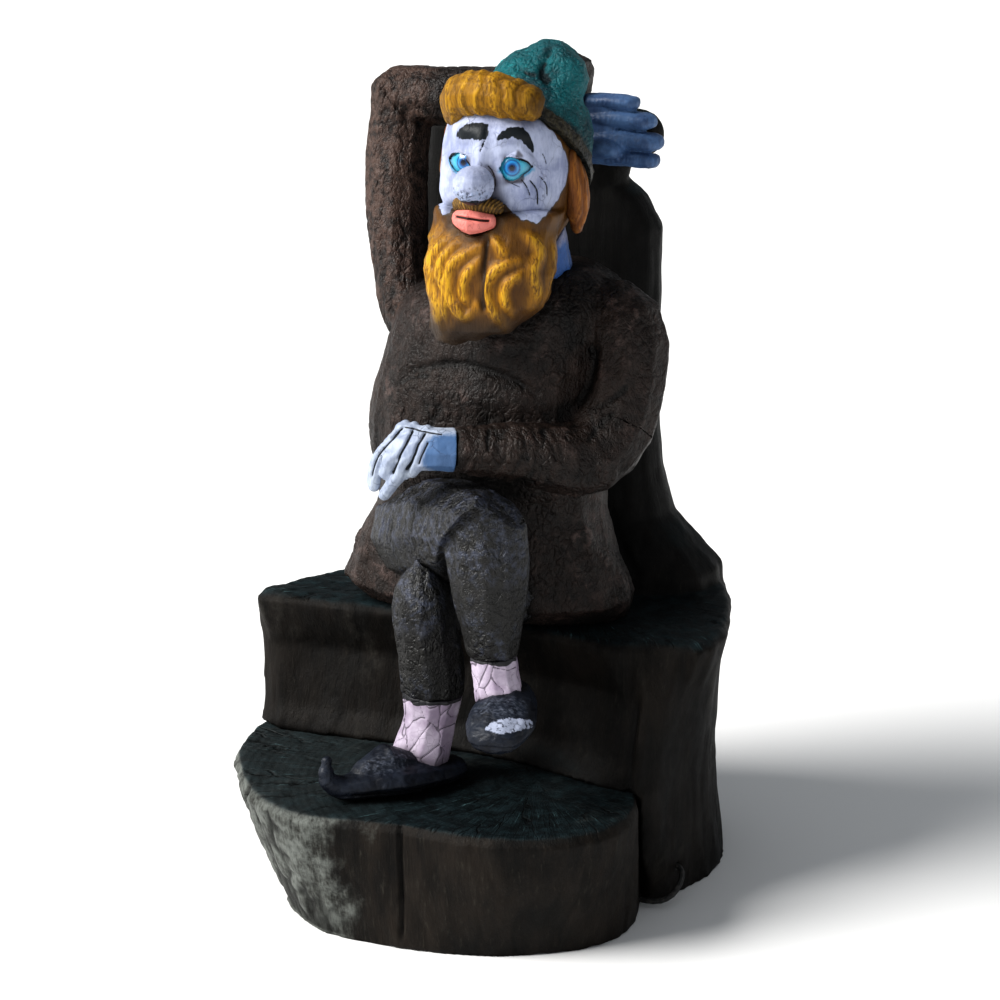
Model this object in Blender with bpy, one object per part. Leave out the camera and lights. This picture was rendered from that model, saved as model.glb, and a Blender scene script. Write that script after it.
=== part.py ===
"""Garden gnome resting on a tree trunk: carved and painted timber blocks, dowelled and bolted together.

Units are metres and +Z is up. The figure faces -Y, so its left side is at +X. The origin is on the
ground, under the middle of the trunk's footprint. Left and right in names are the figure's own.
"""
import math

import bmesh
import bpy
from mathutils import Vector

# Driving dimensions
TRUNK_WIDTH = 0.666
TRUNK_DEPTH = 0.712
STEP_TOP = 0.180
SEAT_TOP = 0.376
WAIST = 0.555
GLUE_LINE = 0.0006          # clearance grown around a neighbour before it trims a piece
HALF_GAP = 0.0002           # each side's share of the gap at a flat joint
DOWEL_CLEARANCE = 0.0005    # radial gap round every dowel, rod and bolt
SOCKET_END_GAP = 0.0010     # a socket is this much deeper than its dowel at each end
HEAD_CENTRE = Vector((0.066, -0.080, 1.000))
HEAD_RADII = (0.088, 0.105, 0.128)
HAT_RIM_POINT = Vector((0.070, -0.070, 1.022))
HAT_RIM_NORMAL = Vector((0.12, 0.64, 0.76)).normalized()
BRIM_THICKNESS = 0.016
ELBOW = Vector((-0.163, 0.072, 1.057))
ELBOW_CORNER = Vector((-0.190, 0.072, 1.084))
KNEE = Vector((0.082, -0.205, 0.540))
KNEE_CORNER = Vector((0.115, -0.200, 0.576))
EYE_RADIUS = 0.019
CORD_RADIUS = 0.004
DRILL_OVERSIZE = 1.3        # hole radius over cord radius
BUSH_RADIUS = 0.0072
BUSH_LENGTH = 0.016
HOLE_LEAD = 0.004           # how far a cord hole starts ahead of the point it is aimed from
HOLE_RELIEF = 0.020         # how far a cord hole runs on, to break out through the surface
ROD_RADIUS = 0.006
POCKET_RADIUS = 0.021
POCKET_DEPTH = 0.020
POCKET_LEAD = 0.060         # the pocket's cutter starts this far outside
WASHER_RADIUS = 0.017
WASHER_THICKNESS = 0.003
NUT_RADIUS = 0.0115
NUT_HEIGHT = 0.010
FACE_GAP = 0.0004           # between nut, washer and pocket floor
DOME_ANGLES = (35, 62)      # degrees up a limb's rounded end at which its rings stand
SHARP_ANGLE = 40            # degrees between faces above which an edge is drawn sharp

# Slots and their colours: red, green, blue, roughness, metallic
PAINTS = {
    "weathered_trunk": (0.075, 0.072, 0.060, 0.85, 0.0),
    "brown_coat": (0.085, 0.062, 0.055, 0.80, 0.0),
    "blue_grey_trousers": (0.070, 0.074, 0.078, 0.80, 0.0),
    "pale_skin": (0.560, 0.540, 0.640, 0.60, 0.0),
    "blue_skin": (0.170, 0.230, 0.420, 0.60, 0.0),
    "pale_sock": (0.440, 0.360, 0.420, 0.65, 0.0),
    "dark_shoe": (0.035, 0.045, 0.062, 0.60, 0.0),
    "ochre_hair": (0.480, 0.290, 0.030, 0.60, 0.0),
    "teal_hat": (0.010, 0.140, 0.140, 0.55, 0.0),
    "hat_band": (0.090, 0.070, 0.050, 0.75, 0.0),
    "blue_eye": (0.050, 0.250, 0.500, 0.35, 0.0),
    "pink_lips": (0.650, 0.210, 0.200, 0.50, 0.0),
    "bare_wood": (0.500, 0.340, 0.190, 0.75, 0.0),
    "galvanised_steel": (0.450, 0.450, 0.460, 0.45, 1.0),
    "black_rubber": (0.015, 0.015, 0.015, 0.55, 0.0),
}


# ---------------------------------------------------------------- helpers

def clear_scene():
    for item in list(bpy.data.objects):
        bpy.data.objects.remove(item, do_unlink=True)


def paint(slot):
    """The Principled material of one slot, made on first use."""
    material = bpy.data.materials.get(slot)
    if material is None:
        red, green, blue, roughness, metallic = PAINTS[slot]
        material = bpy.data.materials.new(slot)
        material.use_nodes = True
        shader = material.node_tree.nodes["Principled BSDF"]
        shader.inputs["Base Color"].default_value = (red, green, blue, 1.0)
        shader.inputs["Roughness"].default_value = roughness
        shader.inputs["Metallic"].default_value = metallic
        material.diffuse_color = (red, green, blue, 1.0)
    return material


def place(name, build, slot):
    """Turns a bmesh into a linked, smooth-shaded object of triangles, so that no face is twisted."""
    bmesh.ops.recalc_face_normals(build, faces=build.faces)
    bmesh.ops.triangulate(build, faces=build.faces)
    mesh = bpy.data.meshes.new(name)
    build.to_mesh(mesh)
    build.free()
    mesh.shade_smooth()
    mesh.set_sharp_from_angle(angle=math.radians(SHARP_ANGLE))
    piece = bpy.data.objects.new(name, mesh)
    piece.data.materials.append(paint(slot))
    bpy.context.scene.collection.objects.link(piece)
    return piece


def spline(before, start, end, after, share):
    """Catmull-Rom point between start and end; works on numbers and vectors alike."""
    cubic = (-before + 3 * start - 3 * end + after) * share ** 3
    square = (2 * before - 5 * start + 4 * end - after) * share ** 2
    return 0.5 * (2 * start + (end - before) * share + square + cubic)


def smooth_loop(corners, steps):
    """Closed smooth curve through flat corner points."""
    points = [Vector(corner) for corner in corners]
    count = len(points)
    curve = []
    for index in range(count):
        near = [points[(index + offset) % count] for offset in (-1, 0, 1, 2)]
        curve += [spline(*near, step / steps) for step in range(steps)]
    return curve


def smooth_stations(stations, steps):
    """Open smooth run through stations (x, y, z, half width, half depth)."""
    rows = [Vector(station) for station in stations]
    rows = [2 * rows[0] - rows[1]] + rows + [2 * rows[-1] - rows[-2]]
    run = []
    for index in range(1, len(rows) - 2):
        near = rows[index - 1:index + 3]
        run += [spline(*near, step / steps) for step in range(steps)]
    run.append(rows[-2])
    return run


def squared_ring(centre, side, lift, width, depth, count, power):
    """Points round a superellipse; power 2 is an ellipse and a higher power is squarer."""
    points = []
    for index in range(count):
        angle = 2 * math.pi * index / count
        across = math.copysign(abs(math.cos(angle)) ** (2 / power), math.cos(angle))
        along = math.copysign(abs(math.sin(angle)) ** (2 / power), math.sin(angle))
        points.append(centre + side * (across * width) + lift * (along * depth))
    return points


def skin(name, rings, slot):
    """Closed solid over a row of rings with the same number of points, capped flat at both ends."""
    build = bmesh.new()
    loops = [[build.verts.new(point) for point in ring] for ring in rings]
    for lower, upper in zip(loops, loops[1:]):
        for index in range(len(lower)):
            after = (index + 1) % len(lower)
            build.faces.new((lower[index], lower[after], upper[after], upper[index]))
    build.faces.new(loops[0])
    build.faces.new(loops[-1])
    return place(name, build, slot)


def upright(name, stations, slot, steps=2, count=18, power=2.2):
    """Block of level oval sections, for the torso, the skirt, the beard and the backrest."""
    rings = []
    for x, y, z, width, depth in smooth_stations(stations, steps):
        centre = Vector((x, y, z))
        rings.append(squared_ring(centre, Vector((1, 0, 0)), Vector((0, 1, 0)), width, depth, count, power))
    return skin(name, rings, slot)


def limb_chain(names, slots, splits, stations, hint=(0, 0, 1), steps=2, count=10, power=2.0,
               domes=(True, True)):
    """Oval tube along a path, parted at the split stations into pieces that meet face to face.

    hint is the direction that half depth is measured along.
    """
    rows = smooth_stations(stations, steps)
    centres = [Vector(row[:3]) for row in rows]
    last = len(rows) - 1
    bounds = [0] + [split * steps for split in splits] + [last]
    pieces = []
    for name, slot, first, end in zip(names, slots, bounds, bounds[1:]):
        rings = []
        for index in range(first, end + 1):
            forward = (centres[min(index + 1, last)] - centres[max(index - 1, 0)]).normalized()
            side = forward.cross(Vector(hint)).normalized()
            lift = side.cross(forward)
            oval = (side, lift, rows[index][3], rows[index][4], count, power)
            shift = HALF_GAP * ((index == first and first > 0) - (index == end and end < last))
            centre = centres[index] + forward * shift
            if index == 0 and domes[0]:
                rings += dome(centre, -forward, *oval)[::-1]
            rings.append(squared_ring(centre, *oval))
            if index == last and domes[1]:
                rings += dome(centre, forward, *oval)
        pieces.append(skin(name, rings, slot))
    return pieces


def limb(name, stations, slot, **shape):
    """One oval tube along a path of stations (x, y, z, half width, half depth)."""
    return limb_chain([name], [slot], [], stations, **shape)[0]


def dome(centre, outward, side, lift, width, depth, count, power):
    """Shrinking rings that round off the end of a limb."""
    reach = min(width, depth)
    rings = []
    for degrees in DOME_ANGLES:
        angle = math.radians(degrees)
        shift = centre + outward * (reach * math.sin(angle))
        shrink = math.cos(angle)
        rings.append(squared_ring(shift, side, lift, width * shrink, depth * shrink, count, power))
    return rings


def ball(name, centre, radii, slot, segments=14, rings=9):
    build = bmesh.new()
    bmesh.ops.create_uvsphere(build, u_segments=segments, v_segments=rings, radius=1.0)
    bmesh.ops.scale(build, vec=radii, verts=build.verts)
    bmesh.ops.translate(build, vec=centre, verts=build.verts)
    return place(name, build, slot)


def rod(name, start, end, radius, slot, sides=10):
    """Straight cylinder from start to end."""
    start = Vector(start)
    end = Vector(end)
    forward = (end - start).normalized()
    side = forward.orthogonal().normalized()
    lift = forward.cross(side)
    ring = [squared_ring(point, side, lift, radius, radius, sides, 2.0) for point in (start, end)]
    return skin(name, ring, slot)


def settle(piece):
    """Replaces the mesh by its evaluated shape and drops the modifiers."""
    graph = bpy.context.evaluated_depsgraph_get()
    solid = bpy.data.meshes.new_from_object(piece.evaluated_get(graph))
    piece.modifiers.clear()
    piece.data = solid
    keep_main_body(piece)


def keep_main_body(piece):
    """Drops the shavings that a cut leaves loose, and keeps the largest body."""
    build = bmesh.new()
    build.from_mesh(piece.data)
    waiting = set(build.verts)
    bodies = []
    while waiting:
        body = set()
        edge_of = [waiting.pop()]
        while edge_of:
            vertex = edge_of.pop()
            body.add(vertex)
            for edge in vertex.link_edges:
                other = edge.other_vert(vertex)
                if other in waiting:
                    waiting.remove(other)
                    edge_of.append(other)
        bodies.append(body)
    bodies.sort(key=len, reverse=True)
    for body in bodies[1:]:
        bmesh.ops.delete(build, geom=list(body), context="VERTS")
    build.to_mesh(piece.data)
    build.free()


def halve(piece, point, normal):
    """Saws a piece along a plane and keeps the side that the normal points away from."""
    build = bmesh.new()
    build.from_mesh(piece.data)
    everything = build.verts[:] + build.edges[:] + build.faces[:]
    saw = {"plane_co": Vector(point) - Vector(normal) * HALF_GAP, "plane_no": Vector(normal)}
    cut = bmesh.ops.bisect_plane(build, geom=everything, clear_outer=True, **saw)
    rim = [item for item in cut["geom_cut"] if isinstance(item, bmesh.types.BMEdge)]
    bmesh.ops.holes_fill(build, edges=rim)
    bmesh.ops.recalc_face_normals(build, faces=build.faces)
    bmesh.ops.triangulate(build, faces=build.faces)
    build.to_mesh(piece.data)
    build.free()


def combine(piece, other, operation):
    modifier = piece.modifiers.new("joint", "BOOLEAN")
    modifier.operation = operation
    modifier.solver = "EXACT"
    modifier.object = other
    settle(piece)


def cope(piece, *neighbours):
    """Trims a piece to each neighbour's surface, less the glue line."""
    for neighbour in neighbours:
        cutter = neighbour.copy()
        cutter.data = neighbour.data.copy()
        bpy.context.scene.collection.objects.link(cutter)
        moves = [vertex.normal * GLUE_LINE for vertex in cutter.data.vertices]
        for vertex, move in zip(cutter.data.vertices, moves):
            vertex.co += move
        cutter.data.update()
        combine(piece, cutter, "DIFFERENCE")
        bpy.data.objects.remove(cutter, do_unlink=True)


def fuse(piece, *others):
    for other in others:
        combine(piece, other, "UNION")
        bpy.data.objects.remove(other, do_unlink=True)


def dowel(name, start, end, radius, joined, slot="bare_wood", sides=10):
    """Round pin with a blind socket for it in each joined piece."""
    start = Vector(start)
    end = Vector(end)
    extra = (end - start).normalized() * SOCKET_END_GAP
    socket = rod(name + "_socket", start - extra, end + extra, radius + DOWEL_CLEARANCE, slot, sides)
    for piece in joined:
        combine(piece, socket, "DIFFERENCE")
    bpy.data.objects.remove(socket, do_unlink=True)
    return rod(name, start, end, radius, slot, sides)


def fit_axis(piece, axis, low=None, high=None):
    """Stretches a piece about the origin side that is given, so that it ends exactly at low or high."""
    values = [vertex.co[axis] for vertex in piece.data.vertices]
    for target, extreme in ((low, min(values)), (high, max(values))):
        if target is None:
            continue
        for vertex in piece.data.vertices:
            if vertex.co[axis] * target > 0:
                vertex.co[axis] *= target / extreme
        piece.data.update()


# ---------------------------------------------------------------- trunk

def make_step_log():
    """Low log in front, on which the feet rest; it narrows towards the ground on its left."""
    top = ((-.20, .04), (-.29, .03), (-.333, -.046), (-.329, -.127), (-.297, -.207), (-.221, -.307),
           (-.141, -.356), (-.069, -.354), (.022, -.338), (.109, -.340), (.184, -.321), (.248, -.278),
           (.278, -.226), (.278, -.160), (.252, -.095), (.18, -.02))
    foot = ((-.17, .04), (-.22, .03), (-.245, -.03), (-.245, -.09), (-.228, -.165), (-.199, -.243),
            (-.150, -.290), (-.100, -.318), (-.02, -.321), (.065, -.313), (.142, -.289), (.205, -.250),
            (.246, -.205), (.262, -.150), (.254, -.085), (.19, -.02))
    levels = ((0.0, 0.0, 1.0), (0.055, 0.36, 1.0), (0.115, 0.74, 1.0), (0.168, 1.0, 1.0),
              (STEP_TOP, 1.0, 0.975))
    rings = []
    for height, share, inset in levels:
        corners = []
        for low, high in zip(foot, top):
            corner = Vector(low).lerp(Vector(high), share) * inset
            corners.append((corner.x, corner.y, height))
        rings.append(smooth_loop(corners, 2))
    return skin("step_log", rings, "weathered_trunk")


def make_seat_log():
    """Rear log: the seat, and the backrest left standing as one slab with a stub behind the hand."""
    levels = (
        (0.0, ((-.25, .03), (-.1, .03), (.08, .03), (.2, -.01), (.255, -.045), (.286, .03), (.298, .11),
               (.266, .21), (.19, .31), (0, .356), (-.2, .31), (-.27, .17))),
        (.09, ((-.28, .01), (-.15, .01), (.06, .02), (.2, -.02), (.262, -.10), (.283, -.02), (.292, .08),
               (.262, .20), (.185, .30), (0, .348), (-.2, .30), (-.28, .15))),
        (.18, ((-.30, -.03), (-.18, -.015), (.05, .011), (.2, -.02), (.263, -.118), (.283, -.03), (.290, .07),
               (.262, .18), (.185, .29), (0, .340), (-.2, .295), (-.285, .15))),
        (STEP_TOP + GLUE_LINE, ((-.331, -.066), (-.22, -.088), (.0, -.068), (.129, -.094), (.256, -.120),
                                (.283, -.03), (.290, .07), (.262, .18), (.185, .29), (0, .340),
                                (-.2, .295), (-.290, .14))),
        (.215, ((-.328, -.058), (-.22, -.068), (.0, -.046), (.140, -.066), (.259, -.108), (.286, -.035),
                (.294, .06), (.264, .178), (.188, .29), (0, .340), (-.2, .294), (-.295, .13))),
        (.30, ((-.332, -.050), (-.25, -.050), (.0, -.032), (.17, -.056), (.262, -.090), (.295, -.05),
               (.306, .04), (.270, .17), (.195, .29), (.0, .340), (-.21, .29), (-.31, .09))),
        (.365, ((-.332, -.062), (-.272, -.074), (.0, -.060), (.195, -.086), (.264, -.058), (.318, -.05),
                (.325, .035), (.278, .19), (.205, .300), (.0, .345), (-.18, .28), (-.275, .06))),
        (SEAT_TOP, ((-.322, -.054), (-.266, -.065), (.0, -.052), (.192, -.077), (.26, -.050), (.308, -.042),
                    (.315, .035), (.270, .185), (.198, .291), (.0, .336), (-.175, .272), (-.267, .062))),
    )
    rings = [smooth_loop([(x, y, height) for x, y in corners], 2) for height, corners in levels]
    seat = skin("seat_log", rings, "weathered_trunk")
    backrest = upright("backrest", (
        (.01, .212, .340, .242, .108), (.01, .212, .400, .238, .106), (.01, .208, .438, .206, .095),
        (-.010, .207, .475, .190, .082), (-.020, .205, .540, .186, .074), (-.025, .205, .651, .179, .067),
        (-.027, .205, .791, .186, .065), (-.027, .205, .881, .190, .062), (-.033, .202, .925, .170, .057),
        (-.045, .198, .958, .140, .052), (-.068, .192, 1.008, .106, .044), (-.070, .190, 1.022, .086, .034)),
        "weathered_trunk", steps=1, count=20, power=2.8)
    stub = limb("hand_stub", (
        (.040, .20, .890, .046, .046), (.080, .185, .965, .040, .036), (.115, .166, 1.006, .034, .032),
        (.150, .157, 1.014, .032, .030)), "weathered_trunk", hint=(0, 1, 0), count=10, domes=(False, True))
    fuse(seat, backrest, stub)
    return seat


# ---------------------------------------------------------------- body and arms

def make_body():
    skirt = upright("coat_skirt", (
        (-.010, .032, SEAT_TOP + .0004, .196, .100), (-.012, .016, .405, .207, .120),
        (-.010, .012, .460, .186, .121), (-.003, .010, .520, .160, .120), (.0, .008, WAIST, .157, .118)),
        "brown_coat", steps=1, power=2.3)
    torso = upright("torso", (
        (.0, .008, WAIST + .0004, .157, .118), (.0, .0, .600, .166, .130), (.002, .0, .660, .166, .136),
        (.010, .004, .720, .157, .136), (.022, .008, .770, .156, .133), (.036, .012, .810, .152, .120),
        (.050, .015, .838, .122, .095), (.065, .010, .858, .075, .065)), "brown_coat", power=2.3)
    return skirt, torso


def make_left_arm():
    upper, forearm, hand = limb_chain(
        ("left_upper_arm", "left_forearm", "left_hand"), ("brown_coat", "brown_coat", "pale_skin"), (3, 7), (
            (.150, .005, .802, .045, .045), (.188, .0, .785, .058, .056), (.199, -.010, .725, .055, .055),
            (.193, -.034, .660, .055, .053), (.174, -.070, .625, .052, .050), (.140, -.112, .627, .046, .046),
            (.098, -.152, .640, .040, .040), (.037, -.197, .647, .028, .027), (.005, -.208, .648, .028, .023),
            (-.022, -.212, .642, .026, .020), (-.044, -.214, .626, .019, .015)), hint=(.55, -.6, .25))
    paths = (
        ((-.032, -.208, .670, .0095), (.006, -.206, .666, .0100)),
        ((-.037, -.215, .652, .0100), (-.055, -.219, .636, .0100), (-.064, -.220, .614, .0092),
         (-.068, -.218, .594, .0080)),
        ((-.023, -.219, .648, .0100), (-.041, -.224, .632, .0098), (-.048, -.224, .614, .0085)),
        ((-.011, -.219, .644, .0100), (-.022, -.226, .630, .0098), (-.029, -.224, .613, .0090),
         (-.042, -.221, .597, .0085), (-.052, -.219, .584, .0080)),
        ((.002, -.216, .642, .0110), (-.006, -.220, .630, .0100), (-.012, -.219, .619, .0085)))
    fingers = []
    for index, path in enumerate(paths):
        rows = [(x, y, z, radius, radius) for x, y, z, radius in path]
        fingers.append(limb(f"left_finger_{index}", rows, "pale_skin", hint=(0, 1, 0), steps=1, count=8))
    fuse(hand, *fingers)
    return upper, forearm, hand


def make_right_arm():
    """Raised arm: a squarish mitred elbow, and the hand laid flat against the stub behind the hat."""
    upper = limb("right_upper_arm", (
        (-.085, .005, .745, .050, .055), (-.122, .012, .780, .043, .050), (-.143, .022, .835, .038, .044),
        (-.158, .040, .900, .043, .043), (-.166, .058, .970, .044, .043), (-.165, .068, 1.030, .042, .042),
        (-.163, .072, 1.130, .042, .042)), "brown_coat", hint=(0, 1, 0), domes=(True, False))
    halve(upper, ELBOW, (1, 0, 1))
    halve(upper, ELBOW_CORNER, (-1, 0, 1))
    forearm = limb("right_forearm", (
        (-.230, .070, 1.057, .042, .042), (-.120, .078, 1.060, .041, .041), (-.040, .088, 1.063, .036, .040),
        (.020, .092, 1.068, .038, .041), (.060, .092, 1.074, .040, .046)), "brown_coat", domes=(False, False))
    halve(forearm, ELBOW, (-1, 0, -1))
    halve(forearm, ELBOW_CORNER, (-1, 0, 1))
    cuff = limb("right_cuff", (
        (.0605, .092, 1.074, .040, .050), (.072, .091, 1.074, .041, .053), (.088, .090, 1.070, .040, .050)),
        "brown_coat", domes=(False, False))
    cope(cuff, forearm)
    palm = limb("right_hand", (
        (.0885, .090, 1.030, .020, .043), (.108, .088, 1.028, .019, .044), (.134, .088, 1.026, .017, .044)),
        "blue_skin", steps=1, power=3.0, domes=(False, True))
    bars = ((.173, 1.0645, .0098), (.196, 1.0420, .0116), (.205, 1.0155, .0126), (.202, .9905, .0104))
    digits = []
    for index, (reach, height, thick) in enumerate(bars):
        rows = ((.104, .090, height, .0150, thick), (.150, .089, height, .0150, thick),
                (reach - .008, .087, height - .001, .0135, thick * .92))
        digits.append(limb(f"right_finger_{index}", rows, "blue_skin", steps=1, count=8, power=2.6))
    thumb_rows = ((.108, .076, .999, .013, .0135), (.126, .069, 1.003, .013, .0135),
                  (.141, .067, 1.004, .012, .0120))
    digits.append(limb("right_thumb", thumb_rows, "blue_skin", steps=1, count=8))
    fuse(palm, *digits)
    return upper, forearm, cuff, palm


# ---------------------------------------------------------------- legs

def make_right_leg():
    """The leg that is crossed over the other one."""
    thigh = limb("right_thigh", (
        (-.110, -.010, .470, .068, .068), (-.060, -.075, .492, .070, .072), (.000, -.135, .520, .066, .072),
        (.045, -.175, .535, .060, .062), (.120, -.245, .550, .054, .058)), "blue_grey_trousers",
        domes=(True, False))
    halve(thigh, KNEE, (.52, -.52, -.67))
    shin = limb("right_shin", (
        (.072, -.190, .640, .056, .052), (.082, -.200, .545, .056, .052), (.088, -.204, .495, .054, .050),
        (.092, -.204, .440, .046, .044), (.094, -.203, .382, .034, .034)), "blue_grey_trousers",
        hint=(0, 1, 0), domes=(False, False))
    halve(shin, KNEE, (-.52, .52, .67))
    for piece in (thigh, shin):
        halve(piece, KNEE_CORNER, (1, 0, 1))
    sock = limb("right_sock", (
        (.0945, -.2035, .3815, .031, .031), (.099, -.205, .352, .030, .030), (.106, -.212, .328, .032, .030)),
        "pale_sock", hint=(0, 1, 0), domes=(False, True))
    cope(sock, shin)
    shoe = limb("right_shoe", (
        (.112, -.190, .322, .034, .024), (.120, -.222, .316, .042, .028), (.127, -.256, .306, .045, .027),
        (.131, -.282, .298, .036, .020)), "dark_shoe")
    cope(shoe, sock)
    return thigh, shin, sock, shoe


def make_left_leg():
    """The standing leg: its knee shows left of the crossed leg, and its curled shoe is on the step."""
    thigh = limb("left_thigh", (
        (.090, -.020, .432, .050, .052), (.045, -.085, .424, .052, .050), (-.002, -.140, .420, .046, .044)),
        "blue_grey_trousers")
    shin, sock = limb_chain(("left_shin", "left_sock"), ("blue_grey_trousers", "pale_sock"), (5,), (
        (-.014, -.186, .482, .014, .014), (-.017, -.184, .462, .030, .028), (-.018, -.180, .430, .042, .040),
        (-.014, -.173, .375, .043, .042), (-.010, -.168, .330, .044, .042), (-.010, -.168, .304, .042, .039),
        (-.014, -.168, .265, .036, .034), (-.022, -.176, .225, .040, .036), (-.026, -.186, .206, .040, .034)),
        hint=(0, 1, 0), domes=(True, False))
    shoe = limb("left_shoe", (
        (.014, -.158, .1975, .027, .016), (-.008, -.196, .1990, .036, .018),
        (-.036, -.236, .2030, .040, .022), (-.064, -.268, .2010, .030, .019),
        (-.083, -.290, .1995, .018, .016), (-.098, -.305, .214, .012, .012),
        (-.098, -.306, .240, .007, .007)), "dark_shoe")
    vamp = limb("left_vamp", (
        (-.030, -.210, .210, .026, .022), (-.047, -.236, .221, .029, .026), (-.064, -.262, .211, .021, .019)),
        "dark_shoe", steps=1)
    fuse(shoe, vamp)
    cope(shoe, sock)
    return thigh, shin, sock, shoe


# ---------------------------------------------------------------- head

def make_head():
    """Face block, cut flat where the hat starts, with sockets for the eyes."""
    head = ball("head_block", HEAD_CENTRE, HEAD_RADII, "pale_skin", 20, 14)
    halve(head, HAT_RIM_POINT, HAT_RIM_NORMAL)
    left_eye = ball("left_eye", (.0995, -.1605, 1.008), (EYE_RADIUS,) * 3, "blue_eye", 12, 8)
    right_eye = ball("right_eye", (.0435, -.1625, 1.0125), (EYE_RADIUS,) * 3, "blue_eye", 12, 8)
    cope(head, left_eye, right_eye)
    neck = limb("neck", ((.078, -.020, .835, .050, .048), (.080, -.035, .880, .044, .044),
                         (.078, -.048, .925, .044, .044)), "pale_skin", hint=(0, 1, 0), steps=2,
                domes=(False, False))
    nose = ball("nose", (.070, -.208, .991), (.0250, .030, .0240), "pale_skin", 14, 10)
    lips = limb("lips", ((.040, -.186, .944, .009, .011), (.062, -.198, .943, .013, .0155),
                         (.084, -.190, .944, .008, .010)), "pink_lips", count=10)
    moustache = limb("moustache", ((.038, -.180, .961, .009, .009), (.064, -.192, .966, .012, .012),
                                   (.090, -.183, .961, .009, .009)), "ochre_hair", count=8)
    beard = upright("beard", (
        (.022, -.176, .782, .020, .014), (.050, -.168, .802, .058, .036), (.066, -.158, .835, .079, .050),
        (.067, -.150, .875, .086, .060), (.067, -.140, .915, .084, .064), (.070, -.125, .950, .084, .062)),
        "ochre_hair", steps=1)
    return head, left_eye, right_eye, neck, nose, lips, moustache, beard


def make_hair_and_hat():
    fringe = limb("hair_fringe", (
        (.016, -.138, 1.070, .018, .024), (.026, -.149, 1.091, .026, .028), (.060, -.160, 1.099, .027, .028),
        (.092, -.158, 1.095, .026, .027), (.118, -.149, 1.088, .022, .023)), "ochre_hair", count=12)
    left_lock = limb("left_hair_lock", (
        (.143, -.085, 1.020, .012, .018), (.150, -.076, .980, .016, .024), (.152, -.070, .945, .014, .020),
        (.152, -.068, .920, .006, .008)), "ochre_hair", hint=(0, 1, 0), count=10)
    right_lock = limb("right_hair_lock", (
        (-.012, -.085, 1.040, .012, .018), (-.018, -.078, .990, .015, .023), (-.017, -.072, .950, .012, .018),
        (-.015, -.070, .925, .005, .007)), "ochre_hair", hint=(0, 1, 0), count=10)
    brim = ball("hat_brim", HEAD_CENTRE + Vector((.006, .010, .012)), (.094, .112, .134), "hat_band", 22, 16)
    brim_top = HAT_RIM_POINT + HAT_RIM_NORMAL * BRIM_THICKNESS
    halve(brim, HAT_RIM_POINT, -HAT_RIM_NORMAL)
    halve(brim, brim_top, HAT_RIM_NORMAL)
    crown = limb("hat_crown", (
        (.074, -.075, 1.000, .080, .088), (.080, -.052, 1.030, .081, .086), (.083, -.042, 1.068, .073, .076),
        (.092, -.036, 1.096, .065, .060), (.104, -.032, 1.1127, .048, .040)), "teal_hat", hint=(0, 1, 0),
        steps=2, count=18, domes=(False, True))
    halve(crown, brim_top, -HAT_RIM_NORMAL)
    return fringe, left_lock, right_lock, brim, crown


# ---------------------------------------------------------------- fittings

def ring_plate(name, start, end, outer, bore, slot, sides):
    """Washer, nut or bush: a disc or a hexagon with a round hole along its axis."""
    overshoot = (Vector(end) - Vector(start)).normalized() * SOCKET_END_GAP
    plate = rod(name, start, end, outer, slot, sides)
    drill = rod(name + "_bore", Vector(start) - overshoot, Vector(end) + overshoot, bore, slot, 12)
    combine(plate, drill, "DIFFERENCE")
    bpy.data.objects.remove(drill, do_unlink=True)
    return plate


def bore_out(pieces, start, end, radius, sides=12):
    """Drills a plain hole or pocket into every piece that is given."""
    drill = rod("drill", start, end, radius, "bare_wood", sides)
    for piece in pieces:
        combine(piece, drill, "DIFFERENCE")
    bpy.data.objects.remove(drill, do_unlink=True)


def make_cord(seat, step):
    """Short captive cable between two drilled holes near the ground, with a bush in the upper one."""
    route = [Vector(point) for point in (
        (.226, -.001, .046), (.253, -.007, .046), (.280, -.013, .046), (.2935, -.022, .0415),
        (.2965, -.037, .030), (.2905, -.051, .018), (.277, -.0595, .0105), (.259, -.062, .0085),
        (.240, -.058, .0085), (.222, -.054, .0085))]
    rows = [(*point, 0.0, 0.0) for point in route]
    curve = bpy.data.curves.new("tether_cord", "CURVE")
    curve.dimensions = "3D"
    curve.bevel_depth = CORD_RADIUS
    curve.bevel_resolution = 2
    curve.use_fill_caps = True
    points = [row[:3] for row in smooth_stations(rows, 2)]
    line = curve.splines.new("POLY")
    line.points.add(len(points) - 1)
    for target, point in zip(line.points, points):
        target.co = (*point, 1.0)
    cord = bpy.data.objects.new("tether_cord", curve)
    curve.materials.append(paint("black_rubber"))
    bpy.context.scene.collection.objects.link(cord)
    inward = (route[0] - route[1]).normalized()
    bush_end = route[2] - inward * HOLE_LEAD
    bush_start = bush_end + inward * BUSH_LENGTH
    hole = CORD_RADIUS * DRILL_OVERSIZE
    counterbore = BUSH_RADIUS + DOWEL_CLEARANCE
    bore_out((seat,), route[0] + inward * HOLE_LEAD, bush_end, hole)
    bore_out((seat,), bush_start + inward * SOCKET_END_GAP, bush_end - inward * HOLE_RELIEF, counterbore)
    ring_plate("cord_bush", bush_start, bush_end, BUSH_RADIUS, hole, "galvanised_steel", 14)
    outward = (route[-2] - route[-1]).normalized()
    bore_out((seat, step), route[-1] - outward * HOLE_LEAD, route[-3] + outward * HOLE_RELIEF, hole)


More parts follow.
